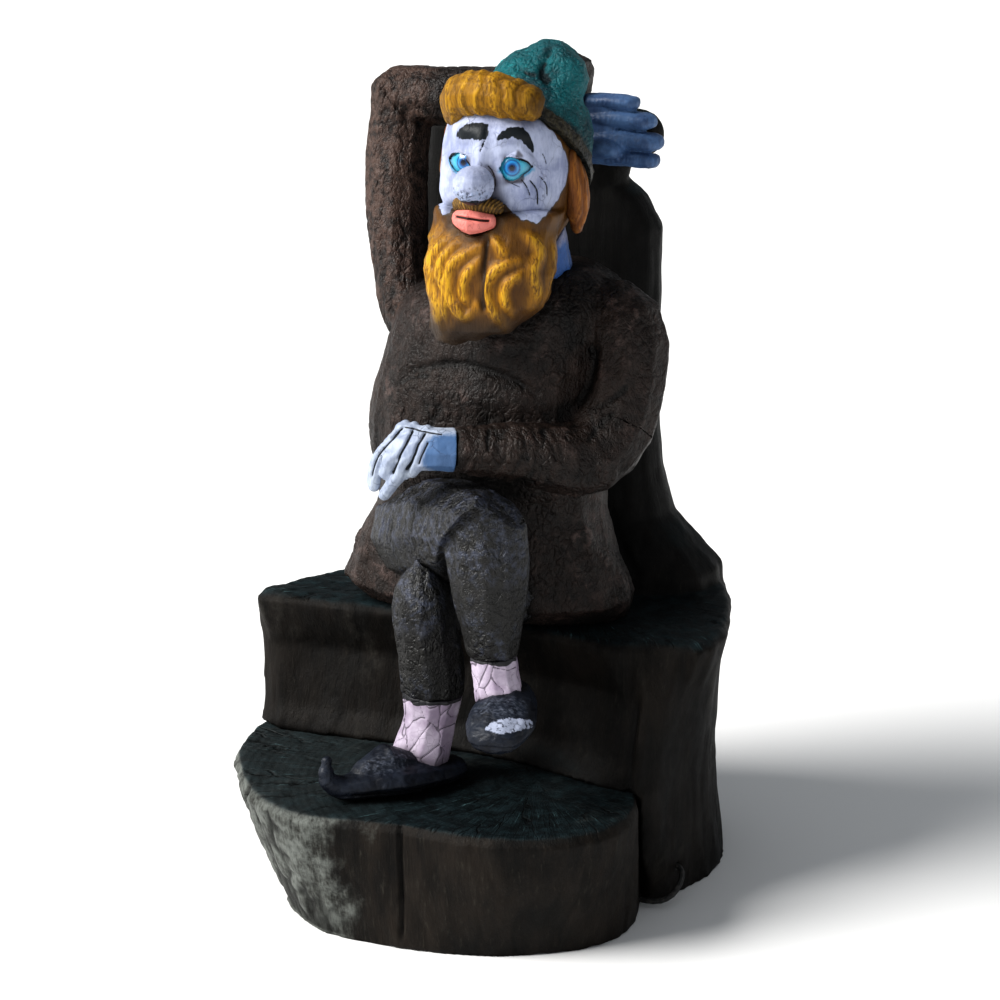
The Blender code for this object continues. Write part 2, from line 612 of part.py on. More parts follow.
def make_dowels(pieces):
    """Hidden joinery; every pin crosses the face where its two blocks meet."""
    joints = (
        ("neck_dowel", (.078, -.022, .800), (.078, -.060, .985), .011, ("torso", "neck", "head_block")),
        ("hat_dowel", (.070, -.078, .992), (.080, -.030, 1.085), .010,
         ("head_block", "hat_brim", "hat_crown")),
        ("left_shoulder_dowel", (.090, .005, .780), (.185, .0, .780), .012, ("torso", "left_upper_arm")),
        ("left_elbow_dowel", (.196, -.026, .690), (.176, -.066, .632), .010,
         ("left_upper_arm", "left_forearm")),
        ("left_wrist_dowel", (.068, -.176, .646), (.005, -.207, .647), .008, ("left_forearm", "left_hand")),
        ("right_shoulder_dowel", (-.060, .006, .740), (-.138, .020, .810), .012,
         ("torso", "right_upper_arm")),
        ("right_elbow_dowel", (-.190, .070, 1.034), (-.136, .075, 1.088), .010,
         ("right_upper_arm", "right_forearm")),
        ("right_wrist_dowel", (.030, .091, 1.048), (.125, .088, 1.030), .008,
         ("right_forearm", "right_cuff", "right_hand")),
        ("right_hip_dowel", (-.050, .0, .480), (-.020, -.110, .505), .012, ("coat_skirt", "right_thigh")),
        ("left_hip_dowel", (.078, -.030, .428), (.046, -.122, .430), .012, ("coat_skirt", "left_thigh")),
        ("right_knee_dowel", (.062, -.187, .566), (.100, -.222, .516), .010, ("right_thigh", "right_shin")),
        ("left_knee_dowel", (.014, -.120, .420), (-.018, -.196, .410), .010, ("left_thigh", "left_shin")),
        ("right_ankle_dowel", (.092, -.203, .410), (.108, -.212, .318), .008,
         ("right_shin", "right_sock", "right_shoe")),
        ("left_ankle_dowel", (-.010, -.168, .330), (-.022, -.186, .196), .008,
         ("left_shin", "left_sock", "left_shoe")),
        ("nose_dowel", (.068, -.150, .994), (.070, -.212, .992), .006, ("head_block", "nose")),
        ("beard_dowel", (.070, -.125, .955), (.070, -.190, .915), .008, ("head_block", "beard")),
    )
    for name, start, end, radius, joined in joints:
        dowel(name, start, end, radius, [pieces[key] for key in joined])


def make_rod_set(names, end, direction, length, joined):
    """Threaded rod with a washer and a nut in a pocket that is open to the outside at the rod's end."""
    end = Vector(end)
    direction = Vector(direction)
    pocket_floor = end + direction * POCKET_DEPTH
    bore_out(joined[:1], end - direction * POCKET_LEAD, pocket_floor, POCKET_RADIUS, 16)
    dowel(names[0], end, end + direction * length, ROD_RADIUS, joined, "galvanised_steel")
    bore = ROD_RADIUS + DOWEL_CLEARANCE
    washer_top = pocket_floor - direction * FACE_GAP
    washer_foot = washer_top - direction * WASHER_THICKNESS
    ring_plate(names[1], washer_foot, washer_top, WASHER_RADIUS, bore, "galvanised_steel", 16)
    nut_top = washer_foot - direction * FACE_GAP
    nut_foot = nut_top - direction * NUT_HEIGHT
    ring_plate(names[2], nut_foot, nut_top, NUT_RADIUS, bore, "galvanised_steel", 6)


def make_rods(pieces):
    """One rod up through the seat into the torso, and two that draw the step log to the seat log."""
    seat, step, skirt, torso = (pieces[key] for key in ("seat_log", "step_log", "coat_skirt", "torso"))
    names = ("body_rod", "body_rod_washer", "body_rod_nut")
    make_rod_set(names, (.0, .070, .008), (0, 0, 1), .620, (seat, skirt, torso))
    for side, x in (("right", -.14), ("left", .12)):
        names = [f"{side}_log_{part}" for part in ("rod", "rod_washer", "rod_nut")]
        make_rod_set(names, (x, .300, .085), (0, -1, 0), .510, (seat, step))


def main():
    clear_scene()
    seat = make_seat_log()
    step = make_step_log()
    fit_axis(step, 0, low=-TRUNK_WIDTH / 2)
    fit_axis(step, 1, low=-TRUNK_DEPTH / 2)
    fit_axis(seat, 0, high=TRUNK_WIDTH / 2)
    fit_axis(seat, 1, high=TRUNK_DEPTH / 2)
    cope(step, seat)
    skirt, torso = make_body()
    cope(skirt, seat)
    cope(torso, seat)
    left_upper, left_fore, left_hand = make_left_arm()
    right_upper, right_fore, cuff, right_hand = make_right_arm()
    cope(left_upper, torso, seat)
    cope(left_fore, torso)
    cope(right_upper, torso, seat)
    cope(right_fore, seat)
    cope(cuff, seat)
    cope(right_hand, cuff, seat)
    right_thigh, right_shin, right_sock, right_shoe = make_right_leg()
    cope(right_thigh, skirt, torso)
    cope(left_fore, right_thigh)
    cope(left_hand, torso, right_thigh)
    left_thigh, left_shin, left_sock, left_shoe = make_left_leg()
    cope(left_thigh, skirt, right_thigh, right_shin, seat)
    cope(left_shin, left_thigh, right_thigh, right_shin)
    cope(left_sock, right_shin)
    cope(left_shoe, step)
    head, left_eye, right_eye, neck, nose, lips, moustache, beard = make_head()
    cope(neck, torso, head)
    cope(nose, head)
    cope(lips, head)
    cope(moustache, head, nose, lips)
    cope(beard, torso, head, neck, lips, moustache, nose)
    fringe, left_lock, right_lock, brim, crown = make_hair_and_hat()
    cope(fringe, head, brim, crown)
    cope(left_lock, head, brim, beard, neck, crown)
    cope(right_lock, head, brim, beard, neck, crown)
    cope(right_lock, right_upper)
    make_cord(seat, step)
    pieces = {piece.name: piece for piece in bpy.data.objects}
    make_dowels(pieces)
    make_rods(pieces)


main()
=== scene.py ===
"""Garden gnome on a tree trunk: carved wood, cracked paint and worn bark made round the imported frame.

Units are metres and +Z is up. Left and right in names are the figure's own. A visible piece is a closed
mesh made from its CAD node, carved by moving its points, and finished with a node material that reads
the marks left by the carving. The eyes are balls of their own, and the hidden hardware and the cord
keep their CAD shapes.
"""
import itertools
import math

import bmesh
import bpy
import numpy as np
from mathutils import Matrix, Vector
from mathutils.bvhtree import BVHTree


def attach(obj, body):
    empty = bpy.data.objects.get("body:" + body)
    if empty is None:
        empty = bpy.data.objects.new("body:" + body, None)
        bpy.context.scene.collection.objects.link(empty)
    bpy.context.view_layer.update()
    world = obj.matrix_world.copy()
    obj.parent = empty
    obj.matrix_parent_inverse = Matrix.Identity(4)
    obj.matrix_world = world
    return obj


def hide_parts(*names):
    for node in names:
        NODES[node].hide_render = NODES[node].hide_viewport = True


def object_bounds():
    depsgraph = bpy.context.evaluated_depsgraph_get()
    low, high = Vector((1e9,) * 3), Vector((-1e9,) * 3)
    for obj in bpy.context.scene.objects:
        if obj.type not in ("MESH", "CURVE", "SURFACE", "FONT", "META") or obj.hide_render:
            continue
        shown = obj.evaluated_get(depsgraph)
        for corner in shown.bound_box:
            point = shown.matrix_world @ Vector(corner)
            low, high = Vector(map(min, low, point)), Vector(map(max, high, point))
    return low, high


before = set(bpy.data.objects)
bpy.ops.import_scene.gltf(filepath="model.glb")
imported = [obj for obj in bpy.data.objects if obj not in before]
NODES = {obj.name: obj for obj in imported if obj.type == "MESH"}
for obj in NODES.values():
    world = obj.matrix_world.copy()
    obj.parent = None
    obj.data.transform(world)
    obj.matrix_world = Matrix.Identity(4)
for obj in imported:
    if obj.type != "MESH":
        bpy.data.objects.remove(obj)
BOX_LOW, BOX_HIGH = [np.array(corner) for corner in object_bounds()]

BEADS_EACH = 6              # balls from one point of a run to the next
GROW = 0.0007               # closes the glue lines between neighbouring CAD nodes
SKIN_MARGIN = 0.0002        # how far inside the CAD box every carved point stays
CAMERA_SPOT = Vector((1.443, -3.211, 1.500))
CAMERA_AIM = Vector((0.060, -0.105, 0.560))
LENS = 96.6                 # millimetres, on a sensor as wide as SENSOR
SENSOR = 36.0
TO_CAMERA = np.array((CAMERA_SPOT - CAMERA_AIM).normalized())
VIEW_DISTANCE = (CAMERA_SPOT - CAMERA_AIM).length
VIEW_RIGHT = np.cross(-TO_CAMERA, (0.0, 0.0, 1.0))
VIEW_RIGHT /= np.linalg.norm(VIEW_RIGHT)
VIEW_UP = np.cross(VIEW_RIGHT, -TO_CAMERA)


# ---------------------------------------------------------------- noise and distances

DICE = np.random.default_rng(11)
SHUFFLE = DICE.permutation(256)
SLOPES = DICE.normal(size=(256, 3))
SLOPES /= np.linalg.norm(SLOPES, axis=1)[:, None]
SCATTER = DICE.random((256, 3))


def shuffled(cells):
    """A repeatable number from 0 to 255 for each whole-numbered cell."""
    first = SHUFFLE[cells[:, 0] & 255]
    second = SHUFFLE[(first + cells[:, 1]) & 255]
    return SHUFFLE[(second + cells[:, 2]) & 255]


def noise(points, size, seed=0):
    """Smooth noise, about -1 to 1. The size is one wave's width, or one width for each axis."""
    spots = points / np.asarray(size) + seed * 7.31
    corner = np.floor(spots).astype(int)
    share = spots - corner
    ease = share ** 3 * (share * (share * 6 - 15) + 10)
    total = np.zeros(len(points))
    for step in itertools.product((0, 1), repeat=3):
        slope = SLOPES[shuffled(corner + step)]
        weight = np.where(step, ease, 1 - ease).prod(axis=1)
        total += weight * (slope * (share - step)).sum(axis=1)
    return total * 1.7


def layered(points, size, layers=3, seed=0):
    """Noise with finer and weaker noise added."""
    total = np.zeros(len(points))
    for layer in range(layers):
        total += noise(points, np.asarray(size) / 2 ** layer, seed + layer) / 2 ** layer
    return total


def creases(points, size, width, seed=0):
    """Thin wandering lines: 1 on a line and 0 away from it."""
    return np.clip(1 - np.abs(noise(points, size, seed)) / width, 0, 1)


def cell_walls(points, size, seed=0):
    """Distance from the walls between irregular cells, in units of the cell size."""
    spots = points / np.asarray(size) + seed * 3.7
    home = np.floor(spots).astype(int)
    nearest = np.full(len(points), 9.0)
    second = np.full(len(points), 9.0)
    for step in itertools.product((-1, 0, 1), repeat=3):
        cell = home + step
        reach = np.linalg.norm(cell + SCATTER[shuffled(cell)] - spots, axis=1)
        second = np.minimum(second, np.maximum(nearest, reach))
        nearest = np.minimum(nearest, reach)
    return second - nearest


def crests(turn):
    """1 at whole numbers and 0 half way between them, like a cosine."""
    return 0.5 + 0.5 * np.cos(2 * math.pi * turn)


def fade(values, start, end):
    """0 before start, 1 after end, and a smooth step between; start may be the larger."""
    share = np.clip((values - start) / (end - start), 0, 1)
    return share * share * (3 - 2 * share)


def smooth_line(corners, steps=5):
    """A smooth open run of points through the corners."""
    rows = np.array(corners, float)
    rows = np.vstack([2 * rows[0] - rows[1], rows, 2 * rows[-1] - rows[-2]])
    run = []
    for index in range(1, len(rows) - 2):
        before, start, end, after = rows[index - 1:index + 3]
        for step in range(steps):
            t = step / steps
            bend = (-before + 3 * start - 3 * end + after) * t ** 3
            bend = bend + (2 * before - 5 * start + 4 * end - after) * t ** 2
            run.append(0.5 * (2 * start + (end - before) * t + bend))
    run.append(rows[-2])
    return np.array(run)


def flattened(points, direction):
    """Points moved along a direction onto one plane across it."""
    return points - np.outer(points @ direction, direction)


def line_reach(points, line):
    """Each point's distance from a bent line, and the share of the line's length at the nearest spot."""
    best = np.full(len(points), 9.0)
    along = np.zeros(len(points))
    steps = np.linalg.norm(np.diff(line, axis=0), axis=1)
    total = steps.sum()
    done = 0.0
    for start, end, length in zip(line[:-1], line[1:], steps):
        if length < 1e-9:
            continue
        run = (end - start) / length
        travel = np.clip((points - start) @ run, 0, length)
        reach = np.linalg.norm(points - start - np.outer(travel, run), axis=1)
        closer = reach < best
        best = np.where(closer, reach, best)
        along = np.where(closer, (done + travel) / total, along)
        done += length
    return best, along


def seen(points):
    """Where points appear from the main view, in metres right and up on a sheet through its middle."""
    offset = np.atleast_2d(points) - np.array(CAMERA_SPOT)
    depth = -(offset @ TO_CAMERA)
    sheet = np.stack([offset @ VIEW_RIGHT, offset @ VIEW_UP], axis=1)
    return sheet * (VIEW_DISTANCE / depth)[:, None]


def outline_reach(points, corners):
    """Distance inside a closed outline as it is seen from the main view; negative outside it."""
    flat = seen(points)
    rows = [corners[-1], *corners, corners[0], corners[1]]
    ring = seen(smooth_line(rows, 4)[4:-4])
    inside = np.zeros(len(flat), bool)
    for start, end in zip(ring[:-1], ring[1:]):
        rise = end[1] - start[1]
        if abs(rise) < 1e-9:
            continue
        crosses = (start[1] > flat[:, 1]) != (end[1] > flat[:, 1])
        edge = start[0] + (flat[:, 1] - start[1]) * (end[0] - start[0]) / rise
        inside ^= crosses & (flat[:, 0] < edge)
    reach = line_reach(flat, ring)[0]
    return np.where(inside, reach, -reach)


# ---------------------------------------------------------------- carving

def rows_of(items, name):
    """One row of three numbers for each point or face of a mesh."""
    flat = np.empty(len(items) * 3)
    items.foreach_get(name, flat)
    return flat.reshape(-1, 3)


def baked(build, name):
    """A mesh made from a bmesh, which is freed."""
    mesh = bpy.data.meshes.new(name)
    build.to_mesh(mesh)
    build.free()
    return mesh


def welded_copy(name, grow):
    """A bmesh of a CAD node with its split corners joined, grown by a hair."""
    build = bmesh.new()
    build.from_mesh(NODES[name].data)
    bmesh.ops.remove_doubles(build, verts=build.verts, dist=1e-5)
    bmesh.ops.recalc_face_normals(build, faces=build.faces)
    build.normal_update()
    for vert in build.verts:
        vert.co += vert.normal * grow
    return build


def add_beads(build, rows, stretch):
    """Overlapping balls along a smooth run of (x, y, z, radius)."""
    for x, y, z, radius in smooth_line(rows, BEADS_EACH):
        made = bmesh.ops.create_icosphere(build, subdivisions=2, radius=radius)["verts"]
        bmesh.ops.scale(build, vec=stretch, verts=made)
        bmesh.ops.translate(build, vec=(x, y, z), verts=made)


def even_mesh(names, cell, relax, beads=(), stretch=(1, 1, 1)):
    """One closed mesh of even small faces round the named CAD nodes, joined where they meet."""
    joined = bmesh.new()
    for rows in beads:
        add_beads(joined, rows, stretch)
    for name in names:
        part = baked(welded_copy(name, GROW), "part")
        joined.from_mesh(part)
        bpy.data.meshes.remove(part)
    rough = baked(joined, "rough")
    holder = bpy.data.objects.new("holder", rough)
    bpy.context.scene.collection.objects.link(holder)
    grid = holder.modifiers.new("grid", "REMESH")
    grid.mode = "VOXEL"
    grid.voxel_size = cell
    calm = holder.modifiers.new("calm", "SMOOTH")
    calm.factor = 0.5
    calm.iterations = relax
    ready = holder.evaluated_get(bpy.context.evaluated_depsgraph_get())
    mesh = bpy.data.meshes.new_from_object(ready)
    bpy.data.objects.remove(holder)
    bpy.data.meshes.remove(rough)
    return mesh


RIDGE_SOFTNESS = 1.15       # how much wider than its half width a ridge's slope reaches


class Clay:
    """An even mesh round some CAD nodes, held as points and normals while it is carved."""

    def __init__(self, names, cell, relax=4, **extra):
        self.names = [names] if isinstance(names, str) else names
        self.cell = cell
        self.mesh = even_mesh(self.names, cell, relax, **extra)
        self.read()

    def read(self):
        self.points = rows_of(self.mesh.vertices, "co")
        self.facing = rows_of(self.mesh.vertex_normals, "vector")

    def neighbours(self):
        """The two ends of every edge, and how many edges meet at each point."""
        edges = np.empty(len(self.mesh.edges) * 2, int)
        self.mesh.edges.foreach_get("vertices", edges)
        first, second = edges.reshape(-1, 2).T
        count = len(self.points)
        near = np.bincount(first, minlength=count) + np.bincount(second, minlength=count)
        return first, second, near

    def write(self):
        self.points = np.clip(self.points, BOX_LOW + SKIN_MARGIN, BOX_HIGH - SKIN_MARGIN)
        self.mesh.vertices.foreach_set("co", self.points.ravel())
        self.mesh.update()
        self.read()

    def push(self, height):
        """Moves the points along their normals."""
        self.points = self.points + self.facing * np.asarray(height)[:, None]
        self.write()

    def shift(self, moves):
        self.points = self.points + moves
        self.write()

    def refine(self, chosen):
        """Cuts the faces whose points are all chosen into four."""
        build = bmesh.new()
        build.from_mesh(self.mesh)
        build.verts.ensure_lookup_table()
        faces = [face for face in build.faces if all(chosen[vert.index] for vert in face.verts)]
        edges = {edge for face in faces for edge in face.edges}
        bmesh.ops.subdivide_edges(build, edges=list(edges), cuts=1, use_grid_fill=True)
        bmesh.ops.triangulate(build, faces=[face for face in build.faces if len(face.verts) > 4])
        build.to_mesh(self.mesh)
        build.free()
        self.read()

    def relax(self, rounds, share=0.5):
        """Evens the points out; the share may be one number for each point."""
        share = np.broadcast_to(share, len(self.points))[:, None]
        first, second, near = self.neighbours()
        count = len(self.points)
        for _ in range(rounds):
            middle = np.zeros_like(self.points)
            for axis in range(3):
                values = self.points[:, axis]
                middle[:, axis] = np.bincount(first, values[second], count)
                middle[:, axis] += np.bincount(second, values[first], count)
            middle /= near[:, None]
            self.points = self.points + (middle - self.points) * share
        self.write()

    def mark(self, name, values):
        """Leaves a number on every point, or the same one on all, for the materials to read."""
        layer = self.mesh.attributes.new(name, "FLOAT", "POINT")
        layer.data.foreach_set("value", np.array(np.broadcast_to(values, len(self.points)), np.float32))

    def groove(self, corners, width, depth, direction=None, ends=0.15):
        """Presses a line into the points that face a direction; returns how deep it is at each, 0 to 1."""
        direction = TO_CAMERA if direction is None else np.asarray(direction) / np.linalg.norm(direction)
        line = smooth_line(corners)
        middle = line.mean(axis=0)
        size = np.linalg.norm(line - middle, axis=1).max() + width * 4
        near = np.linalg.norm(flattened(self.points - middle, direction), axis=1) < size
        near &= np.abs((self.points - middle) @ direction) < size + 0.03
        near &= self.facing @ direction > 0.05
        pressed = np.zeros(len(self.points))
        if near.any():
            flat_line = flattened(line, direction)
            reach, along = line_reach(flattened(self.points[near], direction), flat_line)
            taper = fade(along, 0, ends) * fade(along, 1, 1 - ends)
            pressed[near] = np.exp(-(reach / width) ** 2) * taper
        self.push(-depth * pressed)
        return pressed

    def grooves(self, lines, **how):
        """Presses lines of (corners, half width, depth) one after another; returns how deep, 0 to 1."""
        deepest = np.zeros(len(self.points))
        for corners, width, depth in lines:
            deepest = np.maximum(deepest, self.groove(corners, width, depth, **how))
        return deepest

    def swell(self, centre, radius, height):
        """Raises, or with a negative height hollows, a smooth mound."""
        offset = (self.points - np.asarray(centre)) / np.asarray(radius)
        self.push(height * np.exp(-(offset ** 2).sum(axis=1)))

    def ridges(self, lines, where):
        """Soft rounded ridges along lines: (corners, half width, height). Returns their relief."""
        relief = np.zeros(len(self.points))
        flat = seen(self.points)
        for corners, width, height in lines:
            reach, along = line_reach(flat, seen(smooth_line(corners)))
            ends = 0.35 + 0.65 * fade(along, 0, 0.25) * fade(along, 1, 0.80)
            relief = np.maximum(relief, height * ends * np.exp(-(reach / (RIDGE_SOFTNESS * width)) ** 2))
        relief *= where
        self.push(relief)
        return relief


def face_owners(clay):
    """For each face, which of the clay's CAD nodes is nearest."""
    centres = [Vector(row) for row in rows_of(clay.mesh.polygons, "center")]
    reach = np.empty((len(clay.names), len(centres)))
    for row, name in enumerate(clay.names):
        build = welded_copy(name, 0.0)
        tree = BVHTree.FromBMesh(build)
        build.free()
        reach[row] = [tree.find_nearest(centre)[3] for centre in centres]
    return reach.argmin(axis=0)


def closed_part(clay, unwanted, label):
    """A copy of the clay without the unwanted faces, its openings closed, shaded as the whole."""
    build = bmesh.new()
    build.from_mesh(clay.mesh)
    layers = [build.verts.layers.float.new("even_" + axis) for axis in "xyz"]
    for vert, normal in zip(build.verts, clay.facing):
        for layer, value in zip(layers, normal):
            vert[layer] = value
    build.faces.ensure_lookup_table()
    bmesh.ops.delete(build, geom=[build.faces[index] for index in unwanted], context="FACES")
    rims = [edge for edge in build.edges if edge.is_boundary]
    made = bmesh.ops.holes_fill(build, edges=rims, sides=0)
    bmesh.ops.triangulate(build, faces=made["faces"])
    normals = [tuple(vert[layer] for layer in layers) for vert in build.verts]
    for layer in layers:
        build.verts.layers.float.remove(layer)
    mesh = baked(build, label)
    mesh.shade_smooth()
    mesh.normals_split_custom_set_from_vertices(normals)
    return mesh


def settle(name, mesh, material):
    """Links a carved piece that rides on the one body and stands for its CAD node."""
    piece = bpy.data.objects.new(name + "_carved", mesh)
    mesh.materials.clear()
    mesh.materials.append(material)
    bpy.context.scene.collection.objects.link(piece)
    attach(piece, "root")
    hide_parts(name)


def finish_clay(clay, finish, shade_gap=0.011):
    """Marks painted shade where points are shut in, and turns carved clay into one closed piece for each of
    its CAD nodes.
    """
    add_nook_shade(clay, shade_gap)
    material = FINISHES[finish]
    if len(clay.names) == 1:
        clay.mesh.shade_smooth()
        settle(clay.names[0], clay.mesh, material)
        return
    owners = face_owners(clay)
    for row, name in enumerate(clay.names):
        unwanted = np.nonzero(owners != row)[0]
        settle(name, closed_part(clay, unwanted, name), material)


# ---------------------------------------------------------------- material building

class Finish:
    """Builds one node material; its patterns and sums are output sockets for the next call."""

    def __init__(self, name):
        self.material = bpy.data.materials.new(name)
        self.material.use_nodes = True
        self.tree = self.material.node_tree
        self.shader = self.tree.nodes["Principled BSDF"]
        self.place = self.make("ShaderNodeTexCoord").outputs["Object"]

    def make(self, kind, inputs=None, **settings):
        """A new node, its inputs fed with numbers, colours or the outputs of other nodes."""
        node = self.tree.nodes.new(kind)
        for key, value in settings.items():
            setattr(node, key, value)
        for key, value in (inputs or {}).items():
            self.feed(node.inputs[key], value)
        return node

    def feed(self, socket, value):
        if isinstance(value, bpy.types.NodeSocket):
            self.tree.links.new(value, socket)
        elif isinstance(value, tuple) and len(value) == 3 and socket.type == "RGBA":
            socket.default_value = (*value, 1.0)
        else:
            socket.default_value = value

    def math(self, operation, first, second=0.0):
        return self.make("ShaderNodeMath", {0: first, 1: second}, operation=operation).outputs[0]

    def times(self, first, second):
        return self.math("MULTIPLY", first, second)

    def between(self, share, first, second):
        """A number part of the way from the first to the second."""
        return self.make("ShaderNodeMix", {0: share, 2: first, 3: second}, data_type="FLOAT").outputs[0]

    def polar(self, pith, turn_scale, reach_scale):
        """The place as (turn about a log's pith, reach, height), for streaks along the rays."""
        moved = self.make("ShaderNodeVectorMath", {0: self.place, 1: (*pith, 0.0)}, operation="SUBTRACT")
        east, north, height = self.make("ShaderNodeSeparateXYZ", {0: moved.outputs[0]}).outputs
        turn = self.math("ARCTAN2", north, east)
        squares = self.math("ADD", self.times(east, east), self.times(north, north))
        reach = self.math("SQRT", squares)
        parts = {
            0: self.times(turn, turn_scale),
            1: self.times(reach, reach_scale),
            2: self.times(height, reach_scale),
        }
        return self.make("ShaderNodeCombineXYZ", parts).outputs[0]

    def stretched(self, stretch, warp, place):
        """The place on the object, squeezed along some axes, and pushed about by a colour of noise."""
        start = self.place if place is None else place
        node = self.make("ShaderNodeVectorMath", {0: start, 1: stretch}, operation="MULTIPLY")
        if warp is None:
            return node.outputs[0]
        size, amount = warp
        inputs = {"Vector": self.place, "Scale": 1.0 / size}
        push = self.make("ShaderNodeTexNoise", inputs, noise_dimensions="3D")
        inputs = {0: push.outputs["Color"], 1: (amount,) * 3, 2: node.outputs[0]}
        return self.make("ShaderNodeVectorMath", inputs, operation="MULTIPLY_ADD").outputs[0]

    def cloud(self, size, detail=4.0, rough=0.55, stretch=(1, 1, 1), warp=None, place=None):
        """Noise from 0 to 1, of a size in metres."""
        where = self.stretched(stretch, warp, place)
        inputs = {"Vector": where, "Scale": 1.0 / size, "Detail": detail, "Roughness": rough}
        return self.make("ShaderNodeTexNoise", inputs, noise_dimensions="3D").outputs["Fac"]

    def cells(self, size, feature="DISTANCE_TO_EDGE", stretch=(1, 1, 1), warp=None, place=None):
        """Distance from the edges, or with F1 from the middles, of irregular cells of a size in metres."""
        inputs = {"Vector": self.stretched(stretch, warp, place), "Scale": 1.0 / size}
        node = self.make("ShaderNodeTexVoronoi", inputs, feature=feature, voronoi_dimensions="3D")
        return node.outputs["Distance"]

    def mark(self, name):
        node = self.make("ShaderNodeAttribute", attribute_type="GEOMETRY", attribute_name=name)
        return node.outputs["Fac"]

    def step(self, value, low, high):
        """0 before low, 1 after high, smooth between; low may be the larger."""
        inputs = {"Value": value, "From Min": min(low, high), "From Max": max(low, high)}
        if low > high:
            inputs.update({"To Min": 1.0, "To Max": 0.0})
        return self.make("ShaderNodeMapRange", inputs, interpolation_type="SMOOTHSTEP").outputs["Result"]

    def blend(self, share, first, second):
        return self.make("ShaderNodeMix", {0: share, 6: first, 7: second}, data_type="RGBA").outputs[2]

    def stain(self, colour, paint, share, weight):
        """A colour with paint laid over it, up to the weight where the share is 1."""
        return self.blend(self.times(share, weight), colour, paint)

    def steps(self, value, *stops):
        """A colour ramp: (place, colour) pairs."""
        node = self.make("ShaderNodeValToRGB")
        ramp = node.color_ramp
        while len(ramp.elements) < len(stops):
            ramp.elements.new(1.0)
        for element, (spot, colour) in zip(ramp.elements, stops):
            element.position = spot
            element.color = (*colour, 1.0)
        self.feed(node.inputs["Fac"], value)
        return node.outputs["Color"]

    def total(self, *pairs):
        """Sum of value times weight."""
        whole = None
        for value, weight in pairs:
            part = self.times(value, weight)
            whole = part if whole is None else self.math("ADD", whole, part)
        return whole

    def done(self, colour, roughness, height, distance, mirror=0.5, metallic=0.0, coat=0.0):
        """The finished material; mirror is how strongly it reflects, where 0.5 is usual paint."""
        bump = self.make("ShaderNodeBump", {"Strength": 1.0, "Distance": distance, "Height": height})
        looks = {
            "Base Color": colour,
            "Roughness": roughness,
            "Specular IOR Level": mirror,
            "Metallic": metallic,
            "Coat Weight": coat,
            "Coat Roughness": 0.2,
            "Normal": bump.outputs["Normal"],
        }
        for key, value in looks.items():
            self.feed(self.shader.inputs[key], value)
        return self.material

    def veins(self, size, width, stretch):
        """Thin wandering lines: 1 on a line, 0 away from it."""
        apart = self.math("SUBTRACT", self.cloud(size, 1.0, 0.5, stretch), 0.5)
        return self.step(self.math("ABSOLUTE", apart), width, 0.0)


# ---------------------------------------------------------------- materials

def scaled(colour, share):
    return tuple(share * part for part in colour)


HIDE_SIZE = 0.011
FINE_HIDE_SIZE = 0.42 * HIDE_SIZE
HIDE_STRETCH = (1, 1, 0.7)


def hewn_paint(name, deep, base, worn, mirror, roughness):
    """Old thin paint on hand-hewn wood, wrinkled like hide: painted shade in the creases, paint worn and
    painted highlights on the ridges.
    """
    finish = Finish(name)
    blotch = finish.cloud(0.12, 5.0, 0.6)
    mottle = finish.cloud(0.014, 7.0, 0.68)
    grit = finish.cloud(0.0020, 4.0, 0.7)
    walls = finish.cells(HIDE_SIZE, stretch=HIDE_STRETCH, warp=(0.022, 0.010))
    hide = finish.step(walls, 0.0, 0.22)
    fine_walls = finish.cells(FINE_HIDE_SIZE, stretch=HIDE_STRETCH, warp=(0.010, 0.006))
    fine_hide = finish.step(fine_walls, 0.0, 0.20)
    patches = finish.step(finish.cloud(0.045, 3.0), 0.44, 0.60)
    crack = finish.times(finish.step(walls, 0.045, 0.0), patches)
    ridge = finish.mark("ridge")
    tone = finish.total((blotch, 0.6), (mottle, 0.4))
    colour = finish.blend(finish.step(tone, 0.38, 0.62), deep, base)
    # paint worn on the ridges, and also a painted highlight there in the worn colour
    rubbed_and_highlit = finish.times(finish.step(ridge, 0.50, 0.95), finish.step(mottle, 0.46, 0.64))
    colour = finish.stain(colour, worn, rubbed_and_highlit, 0.8)
    warm = finish.times(finish.mark("warm"), finish.step(mottle, 0.36, 0.60))
    colour = finish.blend(warm, colour, (0.075, 0.046, 0.036))
    # painted reflection: a bluish sheen where the sheen mark is set
    sheen = finish.times(finish.mark("sheen"), finish.step(mottle, 0.42, 0.72))
    colour = finish.blend(sheen, colour, (0.048, 0.056, 0.086))
    # painted shade in the creases and folds
    hollow_shade = finish.step(ridge, 0.50, 0.05)
    colour = finish.stain(colour, scaled(deep, 0.25), hollow_shade, 0.90)
    colour = finish.stain(colour, scaled(deep, 0.2), crack, 0.7)
    # painted shade: darker where other parts shut the surface in
    nook_shade = finish.mark("nook_shade")
    colour = finish.stain(colour, scaled(deep, 0.15), nook_shade, 0.9)
    low, high = roughness
    shine = finish.total((mottle, high - low), (1.0, low), (crack, 0.15), (nook_shade, 0.3))
    relief = finish.times(hide, finish.math("ADD", finish.times(patches, 0.55), 0.25))
    height = finish.total((relief, 0.55), (fine_hide, 0.16), (mottle, 0.75), (grit, 0.14))
    return finish.done(colour, shine, height, 0.0030, mirror=mirror)


